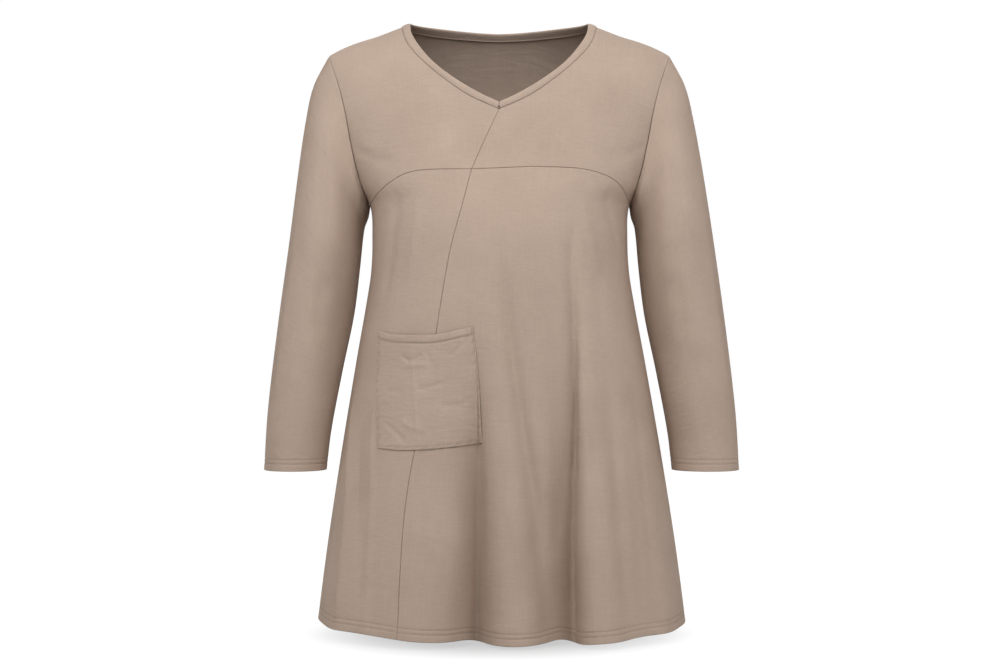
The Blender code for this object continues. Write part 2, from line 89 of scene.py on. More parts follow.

# %% [markdown]
# ## The room
# The dress hangs in front of a white sweep: a paper floor that curves up into a wall, so that
# no horizon shows. One grid is enough for it. Its rows are laid along the floor, round a
# quarter circle and up the wall.

# %% The paper sweep
FLOOR_GAP = 6 * MM              # the dress hangs just clear of the floor
FLOOR_HEIGHT = cad_box[0][2] - FLOOR_GAP
SWEEP_WIDTH = 30.0
SWEEP_FRONT = -9.0
SWEEP_BACK = 6.0                # the wall, far enough for a look from behind the dress
SWEEP_BEND = 2.0
WALL_HEIGHT = 8.0
SWEEP_ROWS = 24


def sweep_profile(share):
    """(depth, height) of the sweep, from its front edge to the top of the wall."""
    bend_length = SWEEP_BEND * math.pi / 2
    floor_length = SWEEP_BACK - SWEEP_BEND - SWEEP_FRONT
    travelled = share * (floor_length + bend_length + WALL_HEIGHT)
    if travelled < floor_length:
        return SWEEP_FRONT + travelled, 0.0
    angle = min((travelled - floor_length) / SWEEP_BEND, math.pi / 2)
    rest = max(travelled - floor_length - bend_length, 0.0)
    return (SWEEP_BACK - SWEEP_BEND + SWEEP_BEND * math.sin(angle),
            SWEEP_BEND * (1.0 - math.cos(angle)) + rest)


def new_piece(mesh, material=None):
    """A smooth piece made of this mesh and named after it, at the origin."""
    mesh.shade_smooth()
    if material:
        mesh.materials.append(material)
    piece = bpy.data.objects.new(mesh.name, mesh)
    bpy.context.collection.objects.link(piece)
    return piece


bm = bmesh.new()
made = bmesh.ops.create_grid(bm, x_segments=1, y_segments=SWEEP_ROWS, size=1.0)
for index, vert in enumerate(made["verts"]):
    row, column = divmod(index, 2)
    depth, height = sweep_profile(row / SWEEP_ROWS)
    vert.co = ((column - 0.5) * SWEEP_WIDTH, depth, FLOOR_HEIGHT + height)
sweep_mesh = bpy.data.meshes.new("paper_sweep")
bm.to_mesh(sweep_mesh)
bm.free()
sweep = new_piece(sweep_mesh)
print("floor at", round(FLOOR_HEIGHT / MM, 1), "mm")

# %% [markdown]
# ## The light
# The folds are read from soft shading alone. The main light is two soft boxes in front of the
# dress, well above it and well apart, so that the yokes are the brightest and neither box reaches
# to the bottom of a deep fold. A weaker box at each side brings out the sleeves' outer edges, a
# small one reaches into the neck, one far behind keeps the back from going dull, and the white
# world fills the rest.

# %% Light
SoftBox = namedtuple("SoftBox", "name place aim size watts")
MIDDLE = (0.0, 0.0, -0.35)      # of the dress, which most of the boxes face
SOFT_BOXES = [
    SoftBox("right key", (-1.05, -1.55, 1.5), MIDDLE, 0.9, 26.3),
    SoftBox("left key", (1.05, -1.55, 1.5), MIDDLE, 0.9, 26.3),
    SoftBox("neck", (0.0, -1.0, 0.4), (0.0, 0.0, -0.05), 0.4, 2.2),
    SoftBox("back", (0.0, 2.6, 1.3), (0.0, 0.0, -0.4), 1.6, 36.0),
    SoftBox("right side", (-2.0, -0.35, -0.1), MIDDLE, 1.2, 3.8),
    SoftBox("left side", (2.0, -0.35, -0.1), MIDDLE, 1.2, 3.8),
]
WORLD_STRENGTH = 0.26

for box in SOFT_BOXES:
    light_data = bpy.data.lights.new(box.name, "AREA")
    light_data.size = box.size
    light_data.energy = box.watts
    light = bpy.data.objects.new(box.name, light_data)
    light.location = box.place
    towards = Vector(box.aim) - Vector(box.place)
    light.rotation_euler = towards.to_track_quat("-Z", "Y").to_euler()
    light.visible_camera = False
    bpy.context.collection.objects.link(light)
world = bpy.data.worlds.new("studio")
world.use_nodes = True
background = world.node_tree.nodes["Background"]
background.inputs["Color"].default_value = (1.0, 1.0, 1.0, 1.0)
background.inputs["Strength"].default_value = WORLD_STRENGTH
bpy.context.scene.world = world
bpy.context.scene.view_settings.view_transform = "Standard"
print(len(SOFT_BOXES), "soft boxes and a white world")

# %% [markdown]
# ## Materials
# Jersey is knitted from a soft, slightly uneven yarn. From a step away its colour drifts a
# little over the cloth, fine streaks run along the knit's columns, thick places in the yarn, or
# slubs, run along its rows, and there are flecks. So four layers of noise blend each jersey from
# two close colours. Three bumps lie on it, for the knit's loops, its nap and small wrinkles, and
# a little sheen catches light at grazing angles. What belongs to the knit follows the cloth's own
# flat map, called cloth, which is measured in metres. The rest follows the object.

# %% Small helpers for nodes
def add_node(tree, kind, **settings):
    """A new node with its settings and the default values of its inputs."""
    node = tree.nodes.new(kind)
    for key, value in settings.items():
        if key in node.inputs:
            node.inputs[key].default_value = value
        else:
            setattr(node, key, value)
    return node


def new_material(name, values):
    """A material, its node tree and its shader, which has these values."""
    material = bpy.data.materials.new(name)
    material.use_nodes = True
    shader = material.node_tree.nodes["Principled BSDF"]
    for key, value in values.items():
        shader.inputs[key].default_value = value
    return material, material.node_tree, shader


def noise(tree, vector, stretch=None, **settings):
    """Noise over a map, which can be scaled first, by another number in each direction."""
    if stretch:
        scaled = add_node(tree, "ShaderNodeMapping", Scale=stretch)
        tree.links.new(vector, scaled.inputs["Vector"])
        vector = scaled.outputs["Vector"]
    texture = add_node(tree, "ShaderNodeTexNoise", **settings)
    tree.links.new(vector, texture.inputs["Vector"])
    return texture.outputs["Fac"]


def bump(tree, height, normal=None, **settings):
    """A bumpy surface's normal, on top of another bump's if there is one."""
    node = add_node(tree, "ShaderNodeBump", **settings)
    tree.links.new(height, node.inputs["Height"])
    if normal is not None:
        tree.links.new(normal, node.inputs["Normal"])
    return node.outputs["Normal"]


def blend(tree, factor, first, second):
    """The first colour where the factor is 0 and the second where it is 1."""
    node = add_node(tree, "ShaderNodeMix", data_type="RGBA")
    node.inputs["A"].default_value = (*first, 1.0)
    node.inputs["B"].default_value = (*second, 1.0)
    tree.links.new(factor, node.inputs["Factor"])
    return node.outputs["Result"]


def ramp(tree, value, start, end, low=0.0, high=1.0, **settings):
    """Goes from low to high while the value goes from start to end."""
    node = add_node(tree, "ShaderNodeMapRange", **settings)
    ends = {"From Min": start, "From Max": end, "To Min": low, "To Max": high}
    for key, number in ends.items():
        node.inputs[key].default_value = number
    tree.links.new(value, node.inputs["Value"])
    return node.outputs["Result"]


# %% Jersey
WALE = 0.9 * MM                 # the width of one column of loops
COURSE = 0.7 * MM               # the height of one row of loops
WAVE = 0.314                    # one wave of the wave texture at scale 1, which is 2 pi / 20
STREAK_SHARE = 0.45             # how much each layer of colour counts beside the slow drift
FLECK_SHARE = 0.55
SLUB_SHARE = 0.6
SUM_AT_DARK = 0.94              # the layers' sum where the cloth has the darker colour
SUM_AT_LIGHT = 1.66
ROUGHNESS_SPREAD = 0.06


def jersey(name, light, dark, roughness=0.88, wrinkle=0.62 * MM):
    """A soft matte jersey between two close colours, with wrinkles of this height."""
    material, tree, shader = new_material(name, {
        "Metallic": 0.0, "IOR": 1.45, "Specular IOR Level": 0.15, "Sheen Weight": 0.12,
        "Sheen Roughness": 0.45, "Sheen Tint": (*light, 1.0)})
    link = tree.links.new
    place = add_node(tree, "ShaderNodeTexCoord").outputs["Object"]
    flat = add_node(tree, "ShaderNodeUVMap", uv_map="cloth").outputs["UV"]

    drift = noise(tree, place, Scale=14.0, Detail=3.0, Roughness=0.5)
    streaks = noise(tree, flat, (620.0, 22.0, 1.0), Scale=1.0, Detail=2.0, Roughness=0.6)
    fleck = noise(tree, place, Scale=520.0, Detail=2.0, Roughness=0.7)
    slubs = noise(tree, flat, (75.0, 560.0, 1.0), Scale=1.0, Detail=3.0, Roughness=0.6)
    total = drift
    for layer, share in ((streaks, STREAK_SHARE), (fleck, FLECK_SHARE), (slubs, SLUB_SHARE)):
        added = add_node(tree, "ShaderNodeMath", operation="MULTIPLY_ADD")
        added.inputs[1].default_value = share
        link(layer, added.inputs[0])
        link(total, added.inputs[2])
        total = added.outputs["Value"]
    link(blend(tree, ramp(tree, total, SUM_AT_DARK, SUM_AT_LIGHT), dark, light),
         shader.inputs["Base Color"])
    link(ramp(tree, fleck, 0.0, 1.0, roughness - ROUGHNESS_SPREAD, roughness + ROUGHNESS_SPREAD),
         shader.inputs["Roughness"])

    knit = add_node(tree, "ShaderNodeMapping", Scale=(WAVE / WALE, WAVE / COURSE, 1.0))
    link(flat, knit.inputs["Vector"])
    loops = add_node(tree, "ShaderNodeMath", operation="MULTIPLY")
    for index, (direction, distortion) in enumerate((("X", 0.6), ("Y", 0.8))):
        waves = add_node(tree, "ShaderNodeTexWave", wave_type="BANDS", wave_profile="SIN",
                         bands_direction=direction, Scale=1.0, Distortion=distortion, Detail=1.0)
        link(knit.outputs["Vector"], waves.inputs["Vector"])
        link(waves.outputs["Fac"], loops.inputs[index])
    nap = noise(tree, place, Scale=160.0, Detail=4.0, Roughness=0.65)
    ripples = noise(tree, flat, (34.0, 95.0, 1.0), Scale=1.0, Detail=2.5, Roughness=0.5,
                    Distortion=0.8)
    normal = bump(tree, loops.outputs["Value"], Strength=0.35, Distance=0.12 * MM)
    normal = bump(tree, nap, normal, Strength=0.5, Distance=0.35 * MM)
    normal = bump(tree, ripples, normal, Strength=1.0, Distance=wrinkle)
    link(normal, shader.inputs["Normal"])
    return material


TAUPE_LIGHT = (0.476, 0.368, 0.297)
TAUPE_DARK = (0.403, 0.308, 0.246)
front_jersey = jersey("knit_front", TAUPE_LIGHT, TAUPE_DARK)
back_jersey = jersey("knit_back", TAUPE_LIGHT, TAUPE_DARK)
sleeve_jersey = jersey("knit_sleeve", TAUPE_LIGHT, TAUPE_DARK)
binding_jersey = jersey("knit_binding", TAUPE_LIGHT, TAUPE_DARK, roughness=0.84)
pocket_jersey = jersey("knit_pocket", TAUPE_LIGHT, TAUPE_DARK, wrinkle=1.1 * MM)
print("materials:", [material.name for material in bpy.data.materials])

# %% Thread
THREAD_SHADE = 0.8              # of the thread's colour, between its fibres


def thread(name, colour):
    """Spun polyester sewing thread: a twist along each stitch and a soft gloss."""
    material, tree, shader = new_material(name, {"Roughness": 0.55, "Sheen Weight": 0.1})
    place = add_node(tree, "ShaderNodeTexCoord").outputs["Object"]
    tone = noise(tree, place, Scale=900.0, Detail=2.0)
    shaded = [THREAD_SHADE * value for value in colour]
    tree.links.new(blend(tree, tone, shaded, colour), shader.inputs["Base Color"])
    tree.links.new(bump(tree, tone, Strength=0.4, Distance=0.05 * MM), shader.inputs["Normal"])
    return material


sewing_thread = thread("sewing_thread", (0.34, 0.262, 0.21))
bar_thread = thread("bar_tack_thread", (0.16, 0.115, 0.09))

# %% [markdown]
# ### The paper
# A catalogue picture keeps only a soft shade on clean white paper. A Light Path node tells the
# camera's own rays from all others. The camera sees paper that glows white, less so near the hem
# as a painted shade, while the cloth gets what ordinary white paper gives back.

# %% Paper
PAPER_SEEN = 0.08               # how much of the room's light the camera sees on the paper
PAPER_BOUNCE = 0.66             # how much of it the paper gives back to the dress
PAPER_GLOW = 0.98               # the clean white of the paper in the picture
PAINTED_SHADE_GLOW = 0.57               # and in the painted soft shade below the hem
SHADE_ACROSS = 0.165            # half the width and half the depth of the hem on the floor
SHADE_DEEP = 0.17
SHADE_FROM = 0.7                # where the painted shade starts to fade and where it ends, in hems
SHADE_TO = 1.65

paper, tree, shader = new_material("white_paper", {
    "Roughness": 0.9, "Specular IOR Level": 0.0, "Emission Color": (1.0, 1.0, 1.0, 1.0)})
seen = add_node(tree, "ShaderNodeLightPath").outputs["Is Camera Ray"]
tree.links.new(blend(tree, seen, [PAPER_BOUNCE] * 3, [PAPER_SEEN] * 3),
               shader.inputs["Base Color"])
where = add_node(tree, "ShaderNodeTexCoord")
hems = add_node(tree, "ShaderNodeMapping", Scale=(1.0 / SHADE_ACROSS, 1.0 / SHADE_DEEP, 0.0))
tree.links.new(where.outputs["Object"], hems.inputs["Vector"])
away = add_node(tree, "ShaderNodeVectorMath", operation="LENGTH")
tree.links.new(hems.outputs["Vector"], away.inputs[0])
# The glow is turned down near the hem, which paints a soft shade on the paper.
glow = add_node(tree, "ShaderNodeMath", operation="MULTIPLY")
tree.links.new(seen, glow.inputs[0])
tree.links.new(ramp(tree, away.outputs["Value"], SHADE_FROM, SHADE_TO, PAINTED_SHADE_GLOW, PAPER_GLOW,
                    interpolation_type="SMOOTHSTEP"), glow.inputs[1])
tree.links.new(glow.outputs["Value"], shader.inputs["Emission Strength"])
sweep_mesh.materials.append(paper)
print("paper glows", PAINTED_SHADE_GLOW, "in the shade and", PAPER_GLOW, "away from it")

# %% [markdown]
# ## The shape of the body
# The CAD part is drawn on one smooth skin: torso(turn, drop), where turn is the angle round the
# body from the middle of the front and drop is how far down a point lies. Finer cloth has to lie
# on that same skin, so the same named sizes come first. They are written with numpy, which works
# a whole grid of points out at once.

# %% Soft curves and tables
def table(kind, *rows):
    """Rows of numbers, read by the names of a namedtuple."""
    return [kind(*row) for row in rows]


def smooth_step(value):
    """0 below 0, 1 above 1, and an easy rise between."""
    value = np.clip(value, 0.0, 1.0)
    return value * value * (3.0 - 2.0 * value)


def smooth_through(knots, values, at):
    """The values of a soft curve through (knot, value) pairs; straight past its ends."""
    knots = np.asarray(knots, float)
    values = np.asarray(values, float)
    at = np.asarray(at, float)
    slopes = np.empty_like(values)
    slopes[1:-1] = (values[2:] - values[:-2]) / (knots[2:] - knots[:-2])
    slopes[0] = (values[1] - values[0]) / (knots[1] - knots[0])
    slopes[-1] = (values[-1] - values[-2]) / (knots[-1] - knots[-2])
    span = np.clip(np.searchsorted(knots, at) - 1, 0, len(knots) - 2)
    width = knots[span + 1] - knots[span]
    whole = (at - knots[span]) / width
    t = np.clip(whole, 0.0, 1.0)
    inside = ((2 * t**3 - 3 * t**2 + 1) * values[span]
              + (t**3 - 2 * t**2 + t) * width * slopes[span]
              + (3 * t**2 - 2 * t**3) * values[span + 1]
              + (t**3 - t**2) * width * slopes[span + 1])
    before = slopes[span] * np.minimum(whole, 0.0) * width
    after = slopes[span + 1] * np.maximum(whole - 1.0, 0.0) * width
    return inside + before + after


def curve(rows, key, column, at):
    """One column of a table as a soft curve over another."""
    return smooth_through([getattr(row, key) for row in rows],
                          [getattr(row, column) for row in rows], at)


# %% Sections of the body
HEM_DROP = 751.5 * MM           # from the neck-shoulder points to the hem in front
HEM_SIDE_LIFT = 9.5 * MM        # how much higher the hem hangs at the side seams
HEM_SIDE_POWER = 2.2            # more would keep the lift nearer to the side seams
HEM_TILT = 2 * MM               # how much lower it hangs at the wearer's left side
HEM_DIP = 0.3                   # how much lower it hangs on a flute, as a share of the flute
HEM_SAG = 0.14                  # how much lower it hangs in a fall's hollow, as a share of it
HEM_SWAY = 3 * MM               # how far the hem hangs over to the wearer's left
ROUNDING_DROP = 130 * MM        # how far down the shoulders go on rounding over
UNDERARM_DROP = 228 * MM
SECTION_POWER = 2.3             # 2 gives an elliptical body, more gives a squarer one

# The body's half width and its two depths at each drop, in millimetres.
Level = namedtuple("Level", "drop half_width front_depth back_depth")
LEVELS = table(
    Level,
    (0, 236, 78, 84), (60, 226, 80, 88), (120, 209, 87, 99), (170, 192, 101, 107),
    (205, 176, 116, 110), (228, 161.5, 124, 112), (270, 159, 134, 113), (310, 160.7, 139, 112),
    (345, 166, 141, 113), (420, 179.5, 146, 118), (532, 198.5, 154, 130), (645, 216, 164, 146),
    (752, 230, 174, 160),
)
# How high the shoulder line lies at each distance from the middle, in millimetres.
Ridge = namedtuple("Ridge", "across height")
RIDGE = table(
    Ridge,
    (0, 24), (60, 15), (109, 0), (150, -15.5), (180, -25), (202, -34.5), (214, -42), (236, -64),
)


def level_value(column, drop):
    """One column of LEVELS, in metres, at drops in metres."""
    return curve(LEVELS, "drop", column, drop / MM) * MM


def ridge_height(across):
    """How high the shoulder line is, above the neck-shoulder points."""
    return curve(RIDGE, "across", "height", abs(across) / MM) * MM


def sway(drop):
    """How far the skirt's middle hangs to the wearer's left at this drop."""
    return HEM_SWAY * smooth_step(drop / HEM_DROP)


print("chest", round(2 * float(level_value("half_width", UNDERARM_DROP)) / MM), "mm wide,",
      "hem", round(2 * float(level_value("half_width", HEM_DROP)) / MM), "mm wide")

# %% [markdown]
# ## The folds
# A full skirt of soft jersey falls into flutes: tall rounded ridges and hollows that start
# below the bust and deepen to the hem. The big ones are in the CAD part too, because they are
# the dress's outline. Smaller ones, drag lines from the sleeves and soft dents are added here.
# Each is placed as a few spots that it runs through, with its own depth and width. A
# cloth simulation would give folds too, but not these ones in these places.

# %% Flutes
# Turns and half widths are in degrees, starts and depths in millimetres.
Flute = namedtuple("Flute", "turn_top turn_hem starts_at depth half_width")
FLUTES = table(
    Flute,
    (-8, -9, 420, -11, 5.5), (2, 6, 330, 7, 7), (22, 20, 270, -13, 5.5), (34, 33, 300, 8, 8),
    (-22, -26, 380, 4, 9), (-58, -62, 470, 4, 8), (58, 60, 430, 4, 8), (132, 134, 380, 7, 9),
    (152, 150, 330, -9, 7), (174, 176, 300, 8, 9), (-166, -164, 360, -8, 7),
    (-144, -142, 400, 6, 9),
)
FLUTE_POWER = 1.2               # 1 would deepen a flute evenly, more keeps it for the hem
FLUTE_SPREADS = (0.75, 0.35)    # its half width at its start, and how much it gains to the hem


def degrees_from(turn, centre):
    """How far round from a centre each turn lies, in degrees from -180 to 180."""
    return (np.degrees(turn) - centre + 180.0) % 360.0 - 180.0


def flute_rise(turn, drop):
    """How far the flutes move the skirt out from the body."""
    rise = np.zeros(np.broadcast(turn, drop).shape)
    first, gain = FLUTE_SPREADS
    for flute in FLUTES:
        start = flute.starts_at * MM
        fall = np.maximum((drop - start) / (HEM_DROP - start), 0.0)
        centre = flute.turn_top + (flute.turn_hem - flute.turn_top) * fall
        spread = flute.half_width * (first + gain * fall)
        away = degrees_from(turn, centre)
        rise += flute.depth * MM * fall**FLUTE_POWER * np.exp(-((away / spread) ** 2))
    return rise


# %% Falls
# A fall is a fold that runs down the skirt. Each place on it gives the drop, the turn in degrees,
# the depth (a hollow is negative) and the half widths to the wearer's right and left in degrees.
# A lean, where there is one, is how far the cloth on the hollow's left hangs over it.
FallPlace = namedtuple("FallPlace", "drop turn depth right left lean", defaults=[0])
LEAN_MIDDLE = 1.1               # where a lean is greatest, in half widths from the hollow
HOLLOW_POWER = 1.35             # 2 would give a round bottom, and less gives a sharper one
FALL_PLACES = {
    "hollow right of the middle": [
        (390, -9.4, 0, 4, 4), (450, -8.4, -6.5, 4.9, 4, 1.6), (513, -7.6, -16.4, 5.6, 4.4, 3.8),
        (583, -7.2, -30.5, 6, 6, 7.2), (650, -6.6, -42.5, 6.7, 8.2, 12),
        (752, -6.6, -56.5, 8, 8.9, 11.5),
    ],
    "middle ridge": [
        (330, -1, 0, 4, 4), (465, -0.6, 0.6, 4.4, 4.2), (580, 0.8, 0.2, 4.8, 4.4),
        (752, 3, 0, 5, 4.8),
    ],
    "long slanting hollow": [
        (215, -1.1, 0, 3, 3), (300, 0.9, -3.6, 3.2, 3.2), (371, 3.2, -7.8, 2.9, 3.6),
        (466, 6.4, -12, 2.8, 3.7), (548, 9.4, -15.8, 3.2, 3.8), (619, 11.8, -16.8, 3, 4.4),
        (689, 13.6, -15.4, 4.4, 5.2), (752, 14.9, -14.6, 4.5, 5),
    ],
    "deep hollow left of the middle": [
        (250, 33.5, 0, 3.5, 3), (311, 32.7, -7.5, 4.1, 3), (383, 31.3, -14.5, 4.3, 2.8, 2),
        (466, 29.7, -22.5, 5.4, 2.5, 7), (549, 27.5, -34, 6.8, 2.9, 8.8),
        (619, 26.3, -46, 8.8, 3.5, 14), (678, 25.8, -54.5, 8.8, 3.9, 15.6),
        (752, 25.4, -60, 9.8, 4.1, 17),
    ],
    "ridge left of it": [
        (380, 35, 0, 4, 5), (500, 33.2, 2.6, 3.6, 5.2), (600, 33.4, 6.4, 2.6, 5.4),
        (752, 32.6, 9, 2.5, 5),
    ],
    "thin hollow on the left skirt": [
        (390, 45, 0, 2.5, 2.5), (500, 43.5, -1.8, 2.5, 2.5), (600, 41, -2, 2.5, 2.5),
        (700, 40, -0.8, 2.5, 2.5), (745, 40, 0, 2.5, 2.5),
    ],
    "ridge beside it": [
        (450, 49, 0, 2.5, 2.5), (560, 47, 1.5, 2.5, 2.5), (660, 45, 1.8, 2.5, 2.5),
        (752, 44, 1.5, 2.5, 3),
    ],
    "hollow near the left side": [
        (430, 61, 0, 3, 3), (520, 58, -2.2, 3, 3), (620, 56, -2, 3, 3), (752, 54, -1.5, 3, 3),
    ],
    "hollow near the right side": [
        (425, -64, 0, 3, 3), (475, -62, -1.6, 3, 3), (530, -60, -2.8, 3, 3),
        (590, -56, -2.8, 3, 3), (650, -52, -1.4, 3, 3), (720, -50, 0, 3, 3),
    ],
    "ridge beside that": [
        (430, -54, 0, 1.4, 2), (500, -53.4, 2.2, 1.4, 2), (600, -48.5, 2.2, 1.4, 2),
        (752, -45.5, 1.8, 1.4, 2),
    ],
    "ridge near the right side": [
        (440, -74, 0, 2.6, 3), (500, -71.5, 3, 2.6, 3), (600, -64, 3, 2.4, 3),
        (708, -60, 2.6, 2.2, 2.8), (752, -59, 2, 2.2, 2.8),
    ],
    "hollow under the bust, right": [
        (240, -15, 0, 4, 4), (300, -15, -1.3, 4, 4), (371, -14, -1.8, 4, 4), (450, -13, 0, 4, 4),
    ],
    "hollow under the bust, left": [
        (225, 48, 0, 4, 4), (300, 48.5, -1.0, 4, 4), (371, 45, -1.2, 4, 4), (430, 44, 0, 4, 4),
    ],
    "deep hollow behind, right": [
        (330, -166, 0, 5, 5), (480, -165, -5, 5, 4), (752, -163, -14, 6, 4),
    ],
    "deep hollow behind, left": [
        (300, 154, 0, 5, 5), (470, 153, -6, 4, 5.5), (752, 150, -16, 4.5, 7),
    ],
    "long hollow behind": [
        (250, 178, 0, 5, 5), (420, -179, -2.5, 4, 5), (640, -176, -5, 4, 5),
        (752, -174, -7, 5, 5),
    ],
    "soft hollow behind the left side": [
        (380, 118, 0, 5, 5), (560, 120, -4, 5, 5), (752, 122, -7, 6, 6),
    ],
    "soft hollow behind the right side": [
        (420, -122, 0, 5, 5), (600, -124, -4, 5, 6), (752, -125, -8, 5, 7),
    ],
}
FALLS = {name: table(FallPlace, *rows) for name, rows in FALL_PLACES.items()}


def fall_shift(turn, drop):
    """How far the falls move the skirt out from the body, and how far to the wearer's left."""
    rise = np.zeros(np.broadcast(turn, drop).shape)
    lean = np.zeros(rise.shape)
    for places in FALLS.values():
        knots = [place.drop for place in places]
        at = np.clip(drop / MM, knots[0], knots[-1])
        first_turn = places[0].turn
        turns = [first_turn + (place.turn - first_turn + 180) % 360 - 180 for place in places]
        away = degrees_from(turn, smooth_through(knots, turns, at))
        depth, right, left = (curve(places, "drop", column, at)
                              for column in ("depth", "right", "left"))
        power = np.where(depth < 0, HOLLOW_POWER, 2.0)
        rise += depth * MM * np.exp(-abs(away / np.where(away < 0, right, left)) ** power)
        if any(place.lean for place in places):
            hang = curve(places, "drop", "lean", at)
            lean -= hang * MM * np.exp(-((away / left - LEAN_MIDDLE) ** 2))
    return rise, lean


# %% Dents
# A dent is a short crease in any direction. Its spots are two places or more that it runs
# through, its depth and half width are in millimetres, and both its ends fade.
Dent = namedtuple("Dent", "name depth half_width spots")
TAPER = 0.22                    # the share of a dent's length over which each end fades


def dent_rise(across, down, dents, across_size, down_size):
    """How far dents move the cloth out. Spots times the two sizes are millimetres on the cloth."""
    across, down = np.broadcast_arrays(across, down)
    here = np.stack([across * across_size, down * down_size], -1)
    rise = np.zeros(across.shape)
    for dent in dents:
        line = np.array(dent.spots) * (across_size, down_size)
        steps = np.diff(line, axis=0)
        lengths = np.hypot(*steps.T)
        begin = np.concatenate([[0.0], np.cumsum(lengths)])
        nearest = np.full(rise.shape, 1e9)
        share = np.zeros(rise.shape)
        for start, step, length, before in zip(line, steps, lengths, begin):
            t = np.clip(((here - start) @ step) / length**2, 0.0, 1.0)
            away = np.linalg.norm(here - start - t[..., None] * step, axis=-1)
            nearer = away < nearest
            nearest = np.where(nearer, away, nearest)
            share = np.where(nearer, (before + t * length) / begin[-1], share)
        ends = smooth_step(np.minimum(share, 1.0 - share) / TAPER)
        rise += dent.depth * MM * ends * np.exp(-((nearest / dent.half_width) ** 2))
    return rise


# %% The body's dents
# Spots are (turn in degrees, drop in millimetres).
MM_PER_DEGREE = 2.9             # round the body
BODY_DENTS = [
    Dent("drag under the right yoke", -2.4, 9, [(-47, 204), (-52, 240), (-57, 300), (-58, 360)]),
    Dent("drag under the left yoke", -1.8, 8, [(49, 206), (58, 245), (66, 290)]),
    Dent("ridge beside the right drag", 1.2, 7, [(-38, 215), (-40, 270), (-44, 340)]),
    Dent("ridge beside the left drag", 1.0, 7, [(38, 210), (42, 260), (50, 330)]),
    Dent("pull from the right armhole", -1.6, 8, [(-66, 150), (-52, 172), (-40, 180)]),
    Dent("pull from the left armhole", -1.6, 8, [(66, 146), (52, 168), (38, 176)]),
    Dent("soft hollow on the right shoulder", -1.0, 14, [(-40, 60), (-42, 110)]),
    Dent("soft hollow on the left shoulder", -1.0, 12, [(36, 40), (40, 100)]),
    Dent("pull behind the right armhole", -2.2, 10, [(-104, 170), (-122, 190), (-140, 196)]),
    Dent("pull behind the left armhole", -2.2, 10, [(105, 160), (124, 184), (138, 196)]),
    Dent("slack across the back", -1.6, 14, [(150, 300), (180, 315), (206, 305)]),
]


def body_dent_rise(turn, drop):
    """How far the body's dents move its cloth out."""
    degrees = np.degrees(turn)
    degrees = np.where(degrees < -180, degrees + 360, degrees)
    behind = np.where(degrees < 0, degrees + 360, degrees)
    return (dent_rise(degrees, drop / MM, BODY_DENTS, MM_PER_DEGREE, 1.0)
            + dent_rise(behind, drop / MM, BODY_DENTS[-1:], MM_PER_DEGREE, 1.0) * (degrees < 0))


print(len(FLUTES), "flutes,", len(FALLS), "falls and", len(BODY_DENTS), "dents")

# %% The skin of the body
def torso(turn, drop):
    """Points of the body's skin, in metres, at turns round it and drops below the shoulders."""
    turn, drop = np.broadcast_arrays(np.asarray(turn, float), np.asarray(drop, float))
    half_width = level_value("half_width", drop)
    depth = np.where(np.cos(turn) >= 0.0, level_value("front_depth", drop),
                     level_value("back_depth", drop))
    rounding = np.sqrt(1.0 - (1.0 - np.minimum(drop / ROUNDING_DROP, 1.0)) ** 2)
    sideways = np.sin(turn)
    fullness = np.maximum(1.0 - abs(sideways) ** SECTION_POWER, 0.0) ** (1.0 / SECTION_POWER)
    across = half_width * sideways + sway(drop)
    forward = np.copysign(depth * rounding * fullness, np.cos(turn))
    slope = 1.0 - smooth_step(drop / UNDERARM_DROP)
    height = ridge_height(across) * slope - drop
    flutes = flute_rise(turn, drop)
    falls, lean = fall_shift(turn, drop)
    folds = falls + body_dent_rise(turn, drop)
    across = across + flutes * sideways + folds * sideways**3 + lean * np.cos(turn)
    forward = forward + (flutes + folds) * np.cos(turn) - lean * sideways
    return np.stack([across, -forward, height], -1)


def unit(vectors):
    """The same vectors, each one metre long."""
    return vectors / np.maximum(np.linalg.norm(vectors, axis=-1, keepdims=True), 1e-12)


NORMAL_STEP = 0.002             # metres down and radians round, over which a slope is measured
LEAST_DROP = 0.00002            # the shoulder line itself has no slope downwards
ON_SHOULDER = 0.0005            # so down to this drop, the cloth is taken to lie level
A_HAIR = 1e-6


def torso_normal(turn, drop):
    """The direction straight out of the body's skin."""
    turn, drop = np.broadcast_arrays(np.asarray(turn, float), np.asarray(drop, float))
    low = np.maximum(drop - NORMAL_STEP * 0.5, LEAST_DROP)
    across = torso(turn + NORMAL_STEP, drop + A_HAIR) - torso(turn - NORMAL_STEP, drop + A_HAIR)
    down = torso(turn, low + NORMAL_STEP) - torso(turn, low)
    over = np.stack([0 * turn, -np.copysign(1.0, np.cos(turn)), 0 * turn], -1)
    down = np.where((drop < ON_SHOULDER)[..., None], over, down)
    return unit(np.cross(down, across))


def skin(places):
    """The points at (turn, drop) places, and the directions out of the skin there."""
    turn, drop = places[..., 0], places[..., 1]
    return torso(turn, drop), torso_normal(turn, drop)


# %% [markdown]
# ## Seams
# Every panel ends at seams. A seam is a short list of places as seen from the front: how far
# across from the centre line and how high, in millimetres. It is laid on the skin, and then read
# off at shares of its real length, so that the grid's squares stay even. Near a sewn edge the
# grid is much finer, because there the cloth rolls into the seam.

